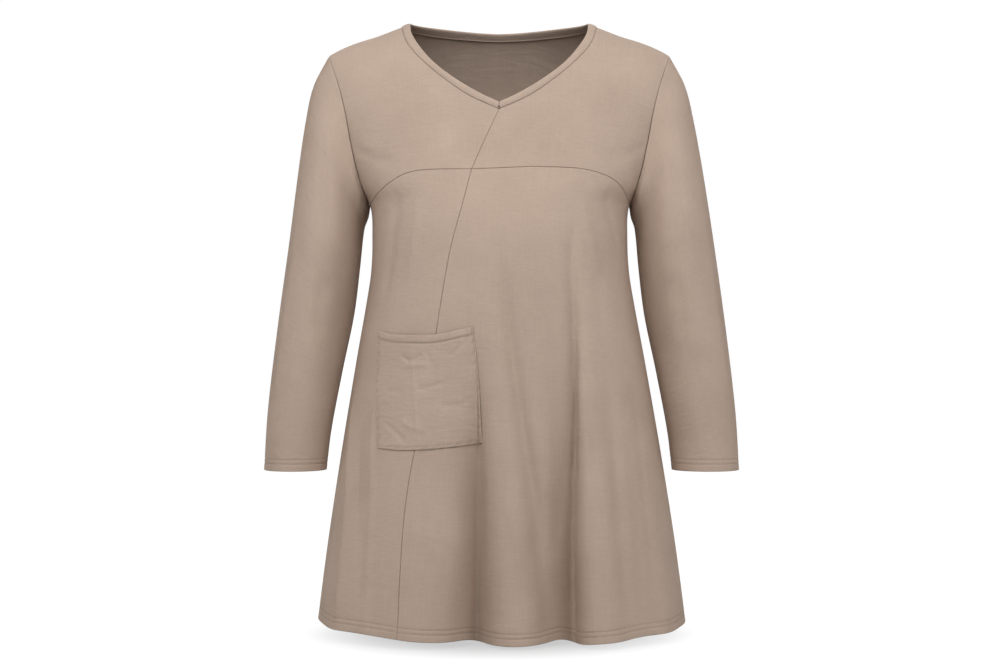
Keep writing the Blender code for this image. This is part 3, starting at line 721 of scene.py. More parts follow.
# %% The seams' places
Spot = namedtuple("Spot", "across height")
ARMHOLE = table(Spot, (213, -41), (203, -67), (196, -89), (188.5, -120), (183, -150), (177, -178),
    (170.5, -202), (161.5, -228))
NECK_EDGE = table(Spot, (111, 0), (108, -16), (97, -35), (78, -57), (51, -78), (23, -95),
    (0, -106))
NECK_SEAM = table(Spot, (122, -5), (113, -30), (92, -55), (64, -79), (35, -99), (0, -115))
BACK_NECK_EDGE = table(Spot, (-111, 0), (-76, -1.5), (0, -5.5), (76, -1.5), (111, 0))
BACK_NECK_SEAM = table(Spot, (-122, -5), (-80, -10), (0, -14), (80, -10), (122, -5))
YOKE_SEAM_RIGHT = table(Spot, (-161.5, -228), (-147, -215), (-130, -202), (-115, -194),
    (-100, -190.5), (-78, -189), (-33, -189))
YOKE_SEAM_LEFT = table(Spot, (-33, -189), (6, -187.5), (41, -186), (77, -186.5), (101, -188),
    (120, -192), (136, -198), (149, -208), (161.5, -228))
SLANT_TOP = table(Spot, (0, -115), (-17, -152), (-33, -189))
SLANT_SKIRT = table(Spot, (-33, -189), (-43, -229), (-58, -286), (-71, -360), (-77, -400),
    (-99, -520), (-107, -563), (-113, -612), (-117, -680), (-119, -747))
POCKET_TOP = table(Spot, (-145, -384), (-129, -387.5), (-108, -389), (-80, -389), (-62, -386),
    (-46, -382), (-31, -379))
POCKET_BOTTOM = table(Spot, (-145, -525), (-119, -526.5), (-85, -525), (-57, -522), (-17, -517.5))
POCKET_OUTER_SIDE = table(Spot, (-145, -384), (-147, -440), (-146.5, -485), (-145, -525))
POCKET_INNER_SIDE = table(Spot, (-31, -379), (-24, -431), (-18.5, -495), (-17, -517.5))

# %% Laying a seam on the skin
SEAM_SAMPLES = 600              # fine points along a seam, from which its even ones are read
PLACE_ROUNDS = 60               # each halves what is left between a guess and the place


def place(across, height, behind=False):
    """The (turn, drop) of points of the skin, seen straight from the front, in metres."""
    drop = np.maximum(-height, 0.0)
    for _ in range(PLACE_ROUNDS):
        slope = 1.0 - smooth_step(drop / UNDERARM_DROP)
        drop = drop + 0.5 * (ridge_height(across) * slope - drop - height)
        drop = np.maximum(drop, 0.0)
    share = (across - sway(drop)) / level_value("half_width", drop)
    turn = np.arcsin(np.clip(share, -1.0, 1.0))
    return (np.pi - turn if behind else turn), drop


def travelled(points):
    """How far along a line each of its points lies."""
    steps = np.linalg.norm(np.diff(points, axis=0), axis=-1)
    return np.concatenate([[0.0], np.cumsum(steps)])


def read_line(at, along, values):
    """The values of a line at lengths along it."""
    return np.stack([np.interp(at, along, column) for column in values.T], -1)


def seam(spots, shares, behind=False, side=1.0):
    """A seam's (turn, drop) at shares of its length. Side -1 mirrors it across the body."""
    across = np.array([side * spot.across for spot in spots]) * MM
    height = np.array([spot.height for spot in spots]) * MM
    for end in (0, -1):
        if spots[end].height * MM == -UNDERARM_DROP:
            reach = level_value("half_width", UNDERARM_DROP)
            across[end] = math.copysign(reach, across[end]) + sway(UNDERARM_DROP)
    knots = travelled(np.stack([across, height], -1))
    at = np.linspace(0.0, knots[-1], SEAM_SAMPLES + 1)
    turn, drop = place(smooth_through(knots, across, at), smooth_through(knots, height, at),
                       behind)
    along = travelled(torso(turn, drop))
    return read_line(np.asarray(shares) * along[-1], along, np.stack([turn, drop], -1))


def on_ridge(across, behind=False):
    """The (turn, drop) of places on the shoulder line, this far across."""
    turn = np.arcsin(np.asarray(across) / level_value("half_width", np.zeros(1)))
    return np.stack([np.pi - turn if behind else turn, 0.0 * turn], -1)


# %% Shares that are fine at the sewn ends
GRID_STEP = 3.2 * MM
ROLL_STEPS = np.array([0.0, 0.35, 0.8, 1.4, 2.3, 3.6]) * MM


def shares_of(length, start_sewn=True, end_sewn=True, step=GRID_STEP):
    """Shares from 0 to 1 along a length, closely spaced where the cloth rolls into a seam."""
    start = ROLL_STEPS if start_sewn else np.zeros(1)
    end = length - (ROLL_STEPS if end_sewn else np.zeros(1))[::-1]
    count = max(int(round((end[0] - start[-1]) / step)), 2)
    middle = np.linspace(start[-1], end[0], count + 1)[1:-1]
    return np.concatenate([start, middle, end]) / length


def seam_length(places):
    """The length of a seam on the skin."""
    return travelled(torso(places[:, 0], places[:, 1]))[-1]


EVEN = np.linspace(0.0, 1.0, 200)
print("the armhole's front half is", round(seam_length(seam(ARMHOLE, EVEN)) / MM), "mm long")

# %% [markdown]
# ## Panels
# Each panel is one grid of cloth, stretched between its four seams: a Coons patch, which blends
# the four sides into the middle. bmesh makes the grid and the skin's function places its points,
# so the panel has clean rows of squares that follow the cloth. A Solidify modifier gives the
# cloth its thickness on the inside.

# %% Stretching a grid between four seams
def stretch(top, bottom, left, right):
    """Rows of (turn, drop) places between four seams, which are made to share their corners."""
    left, right = left.copy(), right.copy()
    left[0], right[0] = top[0], top[-1]
    left[-1], right[-1] = bottom[0], bottom[-1]
    along = grid_shares(top, bottom)[None, :, None]
    down = grid_shares(left, right)[:, None, None]
    sides = (1 - along) * left[:, None] + along * right[:, None]
    ends = (1 - down) * top[None] + down * bottom[None]
    corners = ((1 - along) * (1 - down) * top[0] + along * (1 - down) * top[-1]
               + (1 - along) * down * bottom[0] + along * down * bottom[-1])
    grid = sides + ends - corners
    grid[..., 1] = np.maximum(grid[..., 1], 0.0)
    return grid


def grid_shares(first, second):
    """The mean share of the way along two facing seams at which each of their points lies."""
    shares = []
    for line in (first, second):
        along = travelled(torso(line[:, 0], line[:, 1]))
        shares.append(along / along[-1])
    return (shares[0] + shares[1]) / 2


# %% From a grid of points to a piece of cloth
CLOTH = 0.8 * MM                # one layer of jersey


def cloth_piece(name, points, on_cloth, normals, material, closed=False):
    """A grid of cloth through rows of points, with its flat map and its thickness."""
    rows, columns = points.shape[0] - 1, points.shape[1] - 1
    bm = bmesh.new()
    made = bmesh.ops.create_grid(bm, x_segments=columns, y_segments=rows, size=1.0)
    for vert, point in zip(made["verts"], points.reshape(-1, 3)):
        vert.co = point
    bm.verts.index_update()
    flat = bm.loops.layers.uv.new("cloth")
    on_cloth = on_cloth.reshape(-1, 2)
    for face in bm.faces:
        for loop in face.loops:
            loop[flat].uv = on_cloth[loop.vert.index]
    bm.normal_update()
    bm.verts.ensure_lookup_table()
    middle = bm.verts[(rows // 2) * (columns + 1) + columns // 2]
    if middle.normal.dot(Vector(normals[rows // 2, columns // 2])) < 0:
        bmesh.ops.reverse_faces(bm, faces=bm.faces)
    if closed:
        bmesh.ops.remove_doubles(bm, verts=bm.verts, dist=1e-6)
    mesh = bpy.data.meshes.new(name)
    bm.to_mesh(mesh)
    bm.free()
    piece = new_piece(mesh, material)
    solidify = piece.modifiers.new("cloth", "SOLIDIFY")
    solidify.thickness = CLOTH
    solidify.offset = -1.0
    print(name, rows, "x", columns, "squares")
    return piece


# %% [markdown]
# ### Rolled seams
# Where two panels are sewn, both turn inwards, so that a seam shows as a fine groove with
# rounded sides. Here each panel's edge follows a quarter circle down into the groove.

# %% Rolling an edge into its seam
SEAM_ROLL = 1.1 * MM            # the radius of the rounding
PRESSED_ROLL = 0.6 * MM         # the same at a seam that was pressed flat


def edge_distance(points, sides):
    """How far each point of a grid lies from the nearest of the named sides, along the cloth."""
    across = np.linalg.norm(np.diff(points, axis=1), axis=-1)
    down = np.linalg.norm(np.diff(points, axis=0), axis=-1)
    from_left = np.pad(np.cumsum(across, axis=1), ((0, 0), (1, 0)))
    from_top = np.pad(np.cumsum(down, axis=0), ((1, 0), (0, 0)))
    lies = {"left": from_left, "right": from_left[:, -1:] - from_left,
            "top": from_top, "bottom": from_top[-1:] - from_top}
    return np.minimum.reduce([lies[side] for side in sides])


def roll(distance, radius=SEAM_ROLL):
    """How deep the cloth lies under its own face at a distance from its seam."""
    near = np.clip(distance / radius, 0.0, 1.0)
    return radius * (1.0 - np.sqrt(1.0 - (1.0 - near) ** 2))


# %% [markdown]
# ### Turned hems
# A hem is folded up inside and held with a cover stitch, two rows of stitches that pull the
# cloth down a little. So the grid goes on past the hem: round a small half circle at the fold
# and up again on the inside.

# %% The rows of a turned hem
HEM_ROWS_ABOVE = np.array([20, 18, 16.6, 15.8, 15.1, 14.5, 13.9, 13.1, 11.6, 10.2, 9.5, 8.9, 8.3,
                           7.5, 6, 4, 2.4, 1.4]) * MM
HEM_FOLD = 0.95 * MM            # the radius of the fold
HEM_STITCHES_ABOVE = (14.5 * MM, 8.9 * MM)
STITCH_PULL = 0.4 * MM
STITCH_PULL_WIDTH = 1.1 * MM
FOLD_TURNS = np.radians([0, 40, 80, 120, 150, 180])
INSIDE_ROWS_ABOVE = np.array([1.4, 3.5, 7, 11, 15, 18]) * MM


def hem_rows():
    """For each row of a hem: how far above the edge it lies, and how far inside the cloth."""
    above = np.concatenate([HEM_ROWS_ABOVE, HEM_FOLD * (1 - np.sin(FOLD_TURNS)),
                            INSIDE_ROWS_ABOVE])
    inside = np.concatenate([stitch_pull(HEM_ROWS_ABOVE), HEM_FOLD * (1 - np.cos(FOLD_TURNS)),
                             np.full(len(INSIDE_ROWS_ABOVE), 2 * HEM_FOLD)])
    return above, inside


def stitch_pull(above):
    """How far the cover stitch pulls the cloth in, at a height above the edge."""
    pull = np.zeros(np.shape(above))
    for row in HEM_STITCHES_ABOVE:
        pull = pull + STITCH_PULL * np.exp(-(((above - row) / STITCH_PULL_WIDTH) ** 2))
    return pull


HEM_ABOVE, HEM_INSIDE = hem_rows()
print("a hem has", len(HEM_ABOVE), "rows")

# %% Where the dress's hem hangs
def hem_drop(turn):
    """How low the hem hangs here: lifted at the sides, lower on each flute and in each fall."""
    lift = HEM_SIDE_LIFT * abs(np.sin(turn)) ** HEM_SIDE_POWER - HEM_TILT * np.sin(turn)
    return (HEM_DROP - lift + HEM_DIP * flute_rise(turn, HEM_DROP)
            - HEM_SAG * fall_shift(turn, HEM_DROP)[0])


def hem_band_top(turn):
    """The (turn, drop) line along the top of the hem's fine rows."""
    return np.stack([turn, hem_drop(turn) - HEM_ROWS_ABOVE[0]], -1)


def side_seam(side, shares, behind=False):
    """From the underarm to the top of the hem's rows."""
    turn = side * math.pi / 2
    turn = math.pi - turn if behind else turn
    end = hem_drop(turn) - HEM_ROWS_ABOVE[0]
    shares = np.asarray(shares)
    return np.stack([turn + 0 * shares, UNDERARM_DROP + (end - UNDERARM_DROP) * shares], -1)


# %% A panel of the body
CLOTH_RADIUS = 165 * MM         # makes a length on the flat map of a turn round the body


def body_panel(name, seams, sewn, material, pressed=(), hemmed=False):
    """A panel between its top, bottom, left and right seams, rolled where sewn or pressed."""
    grid = stretch(*seams)
    points, normals = skin(grid)
    on_cloth = np.stack([grid[..., 0] * CLOTH_RADIUS, -grid[..., 1]], -1)
    depth = roll(edge_distance(points, sewn))
    if pressed:
        depth = np.maximum(depth, roll(edge_distance(points, pressed), PRESSED_ROLL))
    if hemmed:
        turns = grid[-1, :, 0]
        drops = hem_drop(turns)
        above, inside = HEM_ABOVE[1:, None], HEM_INSIDE[1:, None]
        band_points = torso(turns[None], drops[None] - above)
        band_normals = torso_normal(turns[None], drops[None] - above)
        turned_over = np.where(inside > HEM_FOLD, -1.0, 1.0)
        side_roll = roll(edge_distance(band_points, [side for side in sewn if side != "top"]))
        band_depth = inside + side_roll * turned_over
        flat_drop = -drops[None] + above * turned_over
        band_on_cloth = np.stack([turns[None] * CLOTH_RADIUS + 0 * above, flat_drop], -1)
        points = np.concatenate([points, band_points])
        normals = np.concatenate([normals, band_normals])
        depth = np.concatenate([depth, band_depth])
        on_cloth = np.concatenate([on_cloth, band_on_cloth])
    return cloth_piece(name, points - normals * depth[..., None], on_cloth, normals, material)


# %% [markdown]
# ### The yokes
# The yoke is the flat-lying top of the front, in two pieces that meet in a slanted seam below
# the V. Each runs from the shoulder seam down to the curved seam across the chest.

# %% The shares of the yokes' seams
NECK_ROWS = shares_of(150 * MM, True, False)
SLANT_ROWS = shares_of(80 * MM, False, True)
CORNER_SHARE = 9 / 14           # the part of the armhole that faces the neckline
YOKE_ROWS = np.concatenate([NECK_ROWS * CORNER_SHARE,
                            (CORNER_SHARE + SLANT_ROWS * (1 - CORNER_SHARE))[1:]])
YOKE_COLUMNS = shares_of(120 * MM)


def yoke_inner_side(side):
    """The neckline from the shoulder down to the V, and the slanted seam below it."""
    neck = seam(NECK_SEAM, NECK_ROWS, side=side)
    slant = seam(SLANT_TOP, SLANT_ROWS)
    slant[0] = neck[-1]
    return np.concatenate([neck, slant[1:]])


def shoulder_seam(side, shares, behind=False):
    """From the neck binding out to the tip of the shoulder, on the shoulder line."""
    start = NECK_SEAM[0].across * MM
    end = ARMHOLE[0].across * MM
    return on_ridge(side * (start + (end - start) * np.asarray(shares)), behind)


# %% The two yokes
front_yoke_right = body_panel(
    "front_yoke_right_cloth",
    (shoulder_seam(-1.0, YOKE_COLUMNS)[::-1], seam(YOKE_SEAM_RIGHT, YOKE_COLUMNS),
     seam(ARMHOLE, YOKE_ROWS, side=-1.0), yoke_inner_side(-1.0)),
    ["left", "top", "bottom"], front_jersey, pressed=["right"])
front_yoke_left = body_panel(
    "front_yoke_left_cloth",
    (shoulder_seam(1.0, YOKE_COLUMNS), seam(YOKE_SEAM_LEFT, YOKE_COLUMNS),
     yoke_inner_side(1.0), seam(ARMHOLE, YOKE_ROWS)),
    ["right", "top", "bottom"], front_jersey, pressed=["left"])

# %% [markdown]
# ### The skirts
# The front skirt hangs from the yoke in two pieces as well. The slanted seam goes on between
# them, down to the hem.

# %% The two front skirts
SKIRT_ROWS = shares_of(520 * MM, True, False)
NARROW_COLUMNS = shares_of(150 * MM)
WIDE_COLUMNS = shares_of(330 * MM)
SLANT_SAMPLES = 400
slant_line = seam(SLANT_SKIRT, np.linspace(0.0, 1.0, SLANT_SAMPLES))
above_band = slant_line[:, 1] < hem_drop(slant_line[-1, 0]) - HEM_ROWS_ABOVE[0]
slant_line = slant_line[above_band]
slant_line = np.concatenate([slant_line, hem_band_top(slant_line[-1:, 0])])
slant_along = travelled(torso(slant_line[:, 0], slant_line[:, 1]))
slant_side = read_line(SKIRT_ROWS * slant_along[-1], slant_along, slant_line)
slant_turn = slant_side[-1, 0]


def hem_side(start, end, shares):
    """A panel's lower side, between the turns of its two seams."""
    return hem_band_top(start + (end - start) * shares)


front_skirt_right = body_panel(
    "front_skirt_right_cloth",
    (seam(YOKE_SEAM_RIGHT, NARROW_COLUMNS), hem_side(-math.pi / 2, slant_turn, NARROW_COLUMNS),
     side_seam(-1.0, SKIRT_ROWS), slant_side),
    ["left", "right", "top"], front_jersey, hemmed=True)
front_skirt_left = body_panel(
    "front_skirt_left_cloth",
    (seam(YOKE_SEAM_LEFT, WIDE_COLUMNS), hem_side(slant_turn, math.pi / 2, WIDE_COLUMNS),
     slant_side, side_seam(1.0, SKIRT_ROWS)),
    ["left", "right", "top"], front_jersey, hemmed=True)

# %% [markdown]
# ### The back
# The back is a single piece from the shoulders to the hem, wider than a body, with the same
# soft flutes. It is never seen in a front view, but a dress is looked at from all sides.

# %% The back
BACK_STEP = 4.2 * MM
BACK_ARM_ROWS = shares_of(215 * MM, True, False, BACK_STEP)
BACK_SIDE_ROWS = shares_of(505 * MM, False, False, BACK_STEP)
BACK_SHOULDER_COLUMNS = shares_of(95 * MM, False, True, BACK_STEP)
BACK_NECK_COLUMNS = shares_of(255 * MM, False, False, BACK_STEP)
shoulder_right_behind = shoulder_seam(-1.0, BACK_SHOULDER_COLUMNS, behind=True)[::-1]
shoulder_left_behind = shoulder_seam(1.0, BACK_SHOULDER_COLUMNS, behind=True)
back_neck_line = seam(BACK_NECK_SEAM, BACK_NECK_COLUMNS, behind=True)
back_top = np.concatenate([shoulder_right_behind, back_neck_line[1:-1], shoulder_left_behind])
back_columns = travelled(torso(back_top[:, 0], back_top[:, 1]))
back_columns = back_columns / back_columns[-1]


def back_side(side):
    """The armhole behind and the side seam below it."""
    arm = seam(ARMHOLE, BACK_ARM_ROWS, behind=True, side=side)
    return np.concatenate([arm, side_seam(side, BACK_SIDE_ROWS, behind=True)[1:]])


back = body_panel(
    "back_cloth",
    (back_top, hem_side(1.5 * math.pi, 0.5 * math.pi, back_columns),
     back_side(-1.0), back_side(1.0)),
    ["left", "right", "top"], back_jersey, hemmed=True)

# %% [markdown]
# ## The sleeves
# A sleeve is a tube: at its top it has the armhole's own outline, and lower down it is an oval
# that narrows to the cuff and hangs a little forward, as an arm does. The grid's two long edges
# meet at the underarm seam on the inner side.

# %% The sleeve's ovals
# At shares of the sleeve's length: where its outer and inner lines lie as seen from the front,
# half its depth, and how far it hangs forward, in millimetres.
Ring = namedtuple("Ring", "share outer_across outer_height inner_across inner_height depth forward")
RINGS = table(
    Ring,
    (0.00, 212, -41, 160.5, -228, 54, 2), (0.06, 230.5, -76, 163, -241, 59, 2),
    (0.14, 241, -116, 168, -257, 62, 3), (0.28, 254, -186, 173.5, -304, 62, 4),
    (0.45, 268, -278, 181, -364, 59, 6), (0.65, 282, -381, 195.5, -435, 55, 9),
    (0.85, 293.5, -482, 209, -508, 50, 13), (1.00, 298, -556, 214.5, -556, 48, 15),
)
HOLE_SHAPE_ENDS = 0.35          # the share of its length at which the sleeve is a plain oval
SLIMMER_FROM = 0.5              # the share at which the right sleeve has its full slimming
RIGHT_SLEEVE_SLIMMER = 6 * MM   # how much narrower the wearer's right sleeve hangs


def ring_value(column, share):
    """One column of RINGS, in metres."""
    return curve(RINGS, "share", column, share) * MM


def ring_point(side, share, angle):
    """The sleeve's plain oval: angle 0 at its outer line and a half turn at its inner."""
    share, angle = np.broadcast_arrays(share, angle)
    outer_across = ring_value("outer_across", share)
    if side < 0:
        outer_across = outer_across - RIGHT_SLEEVE_SLIMMER * smooth_step(share / SLIMMER_FROM)
    zero = np.zeros(share.shape)
    outer = np.stack([side * outer_across, zero, ring_value("outer_height", share)], -1)
    inner = np.stack([side * ring_value("inner_across", share), zero,
                      ring_value("inner_height", share)], -1)
    swing = -ring_value("depth", share) * np.sin(angle) - ring_value("forward", share)
    return ((outer + inner) / 2 + (outer - inner) / 2 * np.cos(angle)[..., None]
            + np.stack([zero, swing, zero], -1))


def sleeve_point(side, share, angle, hole):
    """A point of the sleeve, which has the armhole's own outline at its top."""
    fading = (1.0 - smooth_step(share / HOLE_SHAPE_ENDS))[..., None]
    return ring_point(side, share, angle) + (hole - ring_point(side, 0.0 * share, angle)) * fading


# %% The sleeve's dents
# Spots are (angle in degrees from the outer line, positive to the front; share of the length).
SLEEVE_RADIUS = 47              # millimetres
SLEEVE_LENGTH = 470             # millimetres
SLEEVE_DENTS = [
    Dent("elbow hollow", -2.0, 9, [(104, 0.40), (98, 0.50), (106, 0.6)]),
    Dent("long ridge by the outer side", 1.6, 8, [(38, 0.35), (40, 0.6), (38, 0.85)]),
    Dent("hollow below the cap", -1.6, 11, [(70, 0.10), (80, 0.22), (100, 0.34)]),
    Dent("soft hollow to the cuff", -1.2, 10, [(95, 0.62), (88, 0.78), (84, 0.93)]),
    Dent("hollow behind the elbow", -2.2, 10, [(-110, 0.4), (-95, 0.5), (-105, 0.62)]),
    Dent("ridge behind", 1.4, 9, [(-50, 0.3), (-45, 0.55), (-50, 0.8)]),
]


def sleeve_dent_rise(angle, share):
    """How far the dents move the sleeve's cloth out."""
    degrees = (np.degrees(angle) + 180.0) % 360.0 - 180.0
    return dent_rise(degrees, share, SLEEVE_DENTS, math.radians(SLEEVE_RADIUS), SLEEVE_LENGTH)


# %% The side next to the body
# An empty sleeve is flat rather than round. In front it turns away early beside the body, which
# leaves its inner third in shade.
TURN_AWAY = 13 * MM
TURN_AWAY_MIDDLE = 146          # degrees from the outer line
TURN_AWAY_WIDTH = 32            # degrees
TURN_AWAY_STARTS = (0.02, 0.14) # shares of the length over which it grows
TURN_AWAY_ENDS = (0.4, 0.85)


def turned_away(angle, share):
    """How far back the front of the sleeve lies beside the body."""
    away = (np.degrees(angle) - TURN_AWAY_MIDDLE) / TURN_AWAY_WIDTH
    first, full = TURN_AWAY_STARTS
    last, gone = TURN_AWAY_ENDS
    along = smooth_step((share - first) / (full - first))
    along = along * (1.0 - smooth_step((share - last) / (gone - last)))
    return TURN_AWAY * along * np.exp(-(away**2))


# %% Making a sleeve
SLEEVE_STEP = 3.2 * MM
CUFF_SHARE = 0.03               # the last share of the sleeve, over which its slope is measured
HALF_HOLE_SHARES = shares_of(215 * MM, False, True, SLEEVE_STEP)
SLEEVE_ROWS = shares_of(470 * MM, True, False, SLEEVE_STEP)


def grid_normals(points, outward):
    """The direction out of a grid of points, worked out from its neighbours."""
    across = np.gradient(points, axis=1)
    down = np.gradient(points, axis=0)
    normals = unit(np.cross(down, across))
    flipped = np.sum(normals * outward, axis=-1).mean() < 0
    return -normals if flipped else normals


def make_sleeve(name, side, material):
    """A tube from the armhole to the cuff, its grid starting and ending at the underarm."""
    # The armhole's outline: from the underarm up behind, over the shoulder and down in front.
    front = seam(ARMHOLE, HALF_HOLE_SHARES, side=side)
    behind = seam(ARMHOLE, HALF_HOLE_SHARES, behind=True, side=side)
    round_hole = np.concatenate([behind[::-1], front[1:]])
    hole = torso(round_hole[:, 0], round_hole[:, 1])
    half = HALF_HOLE_SHARES * math.pi
    angle = np.concatenate([-half[::-1], half[1:]])
    # The plain rows end where the cuff's fine rows start, at the same height all round.
    share = SLEEVE_ROWS[:, None]
    edge = ring_point(side, np.ones(len(angle)), angle)
    higher = ring_point(side, np.full(len(angle), 1.0 - CUFF_SHARE), angle)
    per_share = np.linalg.norm(edge - higher, axis=-1) / CUFF_SHARE
    last_share = 1.0 - HEM_ROWS_ABOVE[0] / per_share
    shares = share * last_share[None]
    points = sleeve_point(side, shares, angle[None], hole[None])
    points[..., 1] += turned_away(angle[None], shares)
    # The cuff's rows go down to its edge and back up inside.
    upwards = unit(points[-1] - edge)
    band = edge[None] + upwards[None] * HEM_ABOVE[1:, None, None]
    points = np.concatenate([points, band])
    inside_rows = np.concatenate([np.zeros(len(shares)), HEM_INSIDE[1:]])
    band_shares = 1.0 - HEM_ABOVE[1:, None] / per_share[None]
    shares = np.concatenate([shares, band_shares])
    # The rows inside take their directions from the last row outside.
    outward = points - (ring_point(side, shares, 0.0 * shares)
                        + ring_point(side, shares, 0.0 * shares + math.pi)) / 2
    outer_rows = len(SLEEVE_ROWS) + len(HEM_ROWS_ABOVE) - 1
    normals = grid_normals(points[:outer_rows], outward[:outer_rows])
    band_normals = np.repeat(normals[-1:], len(points) - outer_rows, axis=0)
    normals = np.concatenate([normals, band_normals])
    rise = sleeve_dent_rise(angle[None], shares)
    depth = roll(edge_distance(points[:outer_rows], ["left", "right", "top"]))
    folded = np.repeat(depth[-1:], len(points) - outer_rows, axis=0)
    depth = np.concatenate([depth, folded])
    sign = np.where(inside_rows > HEM_FOLD, -1.0, 1.0)[:, None]
    depth = depth * sign + inside_rows[:, None] - rise
    lengths = travelled(points[:, len(angle) // 2])
    on_cloth = np.stack(np.broadcast_arrays(angle[None] * SLEEVE_RADIUS * MM,
                                            -lengths[:, None]), -1)
    return cloth_piece(name, points - normals * depth[..., None], on_cloth, normals, material,
                       closed=True)


sleeve_right = make_sleeve("sleeve_right_cloth", -1.0, sleeve_jersey)
sleeve_left = make_sleeve("sleeve_left_cloth", 1.0, sleeve_jersey)

# %% [markdown]
# ## The neck binding
# A strip of the same jersey is folded over the neck's raw edge and sewn down, so the neckline
# has a smooth band about a centimetre wide. At the V its two ends are mitred and held with a bar
# tack. The strip's section is a short list of places, smoothed, and carried once round the neck.

# %% The strip's section
# The share of the way from the seam to the free edge, and how far out from the skin, in
# millimetres, from the seam in front, over the fold, to the seam inside.
Fold = namedtuple("Fold", "share out")
BINDING_SECTION = table(
    Fold,
    (0.00, -1.3), (0.01, -0.3), (0.07, 0.6), (0.20, 1.2), (0.50, 1.7), (0.80, 1.5), (0.95, 0.8),
    (1.00, -0.4), (0.95, -1.25), (0.80, -1.75), (0.50, -1.9), (0.15, -1.9), (0.03, -2.3),
)
SECTION_STEPS = 36
NECK_STEP = 2.2 * MM
FRONT_NECK_SHARES = shares_of(170 * MM, False, True, NECK_STEP)
BACK_NECK_SHARES = shares_of(240 * MM, False, False, NECK_STEP)


def around_neck(front_spots, back_spots):
    """Once round the neck from the V: up the wearer's left, behind, and down the right."""
    left = seam(front_spots, FRONT_NECK_SHARES)[::-1]
    right = seam(front_spots, FRONT_NECK_SHARES, side=-1.0)
    behind = seam(back_spots, BACK_NECK_SHARES, behind=True)[::-1]
    return np.concatenate([left, behind[1:], right[1:]])


def make_binding(name, material):
    """The folded strip, once round the neck."""
    seam_places = around_neck(NECK_SEAM, BACK_NECK_SEAM)
    edge_places = around_neck(NECK_EDGE, BACK_NECK_EDGE)
    (start, out_at_seam), (end, out_at_edge) = skin(seam_places), skin(edge_places)
    across = end - start
    out = unit(out_at_seam + out_at_edge)
    at = np.linspace(0, len(BINDING_SECTION) - 1, SECTION_STEPS + 1)
    knots = np.arange(len(BINDING_SECTION))
    share, rise = (smooth_through(knots, list(column), at)[:, None, None]
                   for column in zip(*BINDING_SECTION))
    points = start[None] + across[None] * share + out[None] * (rise * MM)
    outward = points - points.mean(axis=0)[None]
    normals = grid_normals(points, outward)
    along = travelled(start)
    mitre = roll(np.minimum(along, along[-1] - along))[None, :, None]
    points = points - normals * mitre
    down = travelled(points[:, len(along) // 4])
    on_cloth = np.stack(np.broadcast_arrays(along[None], down[:, None]), -1)
    return cloth_piece(name, points, on_cloth, normals, material, closed=True)


neck_binding = make_binding("neck_binding_cloth", binding_jersey)

# %% [markdown]
# ## The pocket
# The patch pocket is cut from the same jersey. Its mouth has a narrow turned hem and stands off
# the skirt a little, its other three edges are turned under and sewn down, and the cloth between
# is never quite flat: fine wrinkles run across it, and the slanted seam under it shows through.

# %% The pocket's wrinkles
# Spots are (share across from the outer side, share down from the mouth).
POCKET_WIDTH = 122              # millimetres
POCKET_HEIGHT = 138             # millimetres
POCKET_DENTS = [
    Dent("left arm of the small fold", -1.2, 2.0, [(0.30, 0.18), (0.40, 0.235)]),
    Dent("right arm of the small fold", -1.2, 2.2, [(0.40, 0.235), (0.52, 0.165)]),
    Dent("ridge under it", 0.8, 2.4, [(0.31, 0.255), (0.42, 0.27), (0.57, 0.25)]),
    Dent("wrinkle", -0.9, 3.0, [(0.42, 0.47), (0.55, 0.46), (0.70, 0.43)]),
    Dent("wrinkle", -0.7, 2.8, [(0.12, 0.50), (0.30, 0.49)]),
    Dent("wrinkle", -0.8, 3.4, [(0.60, 0.62), (0.78, 0.64), (0.92, 0.60)]),
    Dent("wrinkle", 0.9, 3.4, [(0.25, 0.72), (0.34, 0.80), (0.50, 0.84)]),
    Dent("wrinkle", -0.9, 3.4, [(0.08, 0.76), (0.20, 0.84), (0.30, 0.94)]),
    Dent("wrinkle", -0.7, 3.0, [(0.55, 0.12), (0.60, 0.28), (0.57, 0.40)]),
    Dent("pull from the inner corner", -0.9, 3.2, [(0.96, 0.06), (0.85, 0.16), (0.72, 0.22)]),
    Dent("the seam under the pocket", 0.8, 2.2, [(0.42, 0.06), (0.41, 0.5), (0.40, 0.98)]),
]

# %% The pocket
POCKET_STEP = 1.6 * MM
POCKET_CLEARANCE = 0.5 * MM     # of the pocket's back from the skirt, where it is sewn
POCKET_SLACK = 2.2 * MM         # how much further its mouth stands off
INNER_SLACK = 0.8               # how much of that its inner side does
POCKET_THICKNESS = 1.2 * MM
POCKET_EDGE_ROLL = 1.6 * MM
POCKET_STITCHES = 3.0 * MM      # from its sewn edges
MOUTH_STITCHES = 9.5 * MM       # below the mouth's edge
MOUTH_PULL = 0.7 * MM
SIDE_PULL = 0.8 * MM
MOUTH_BULK = 0.7 * MM           # the mouth's hem is three layers thick
PUCKER = 0.45 * MM              # how high the cloth puffs up between its stitches
PUCKER_LENGTH = 11 * MM
PUCKER_WIDTH = 6 * MM
SECOND_HEIGHT = 0.6             # a second wave, out of step, keeps the puckers uneven
SECOND_PACE = 1.73


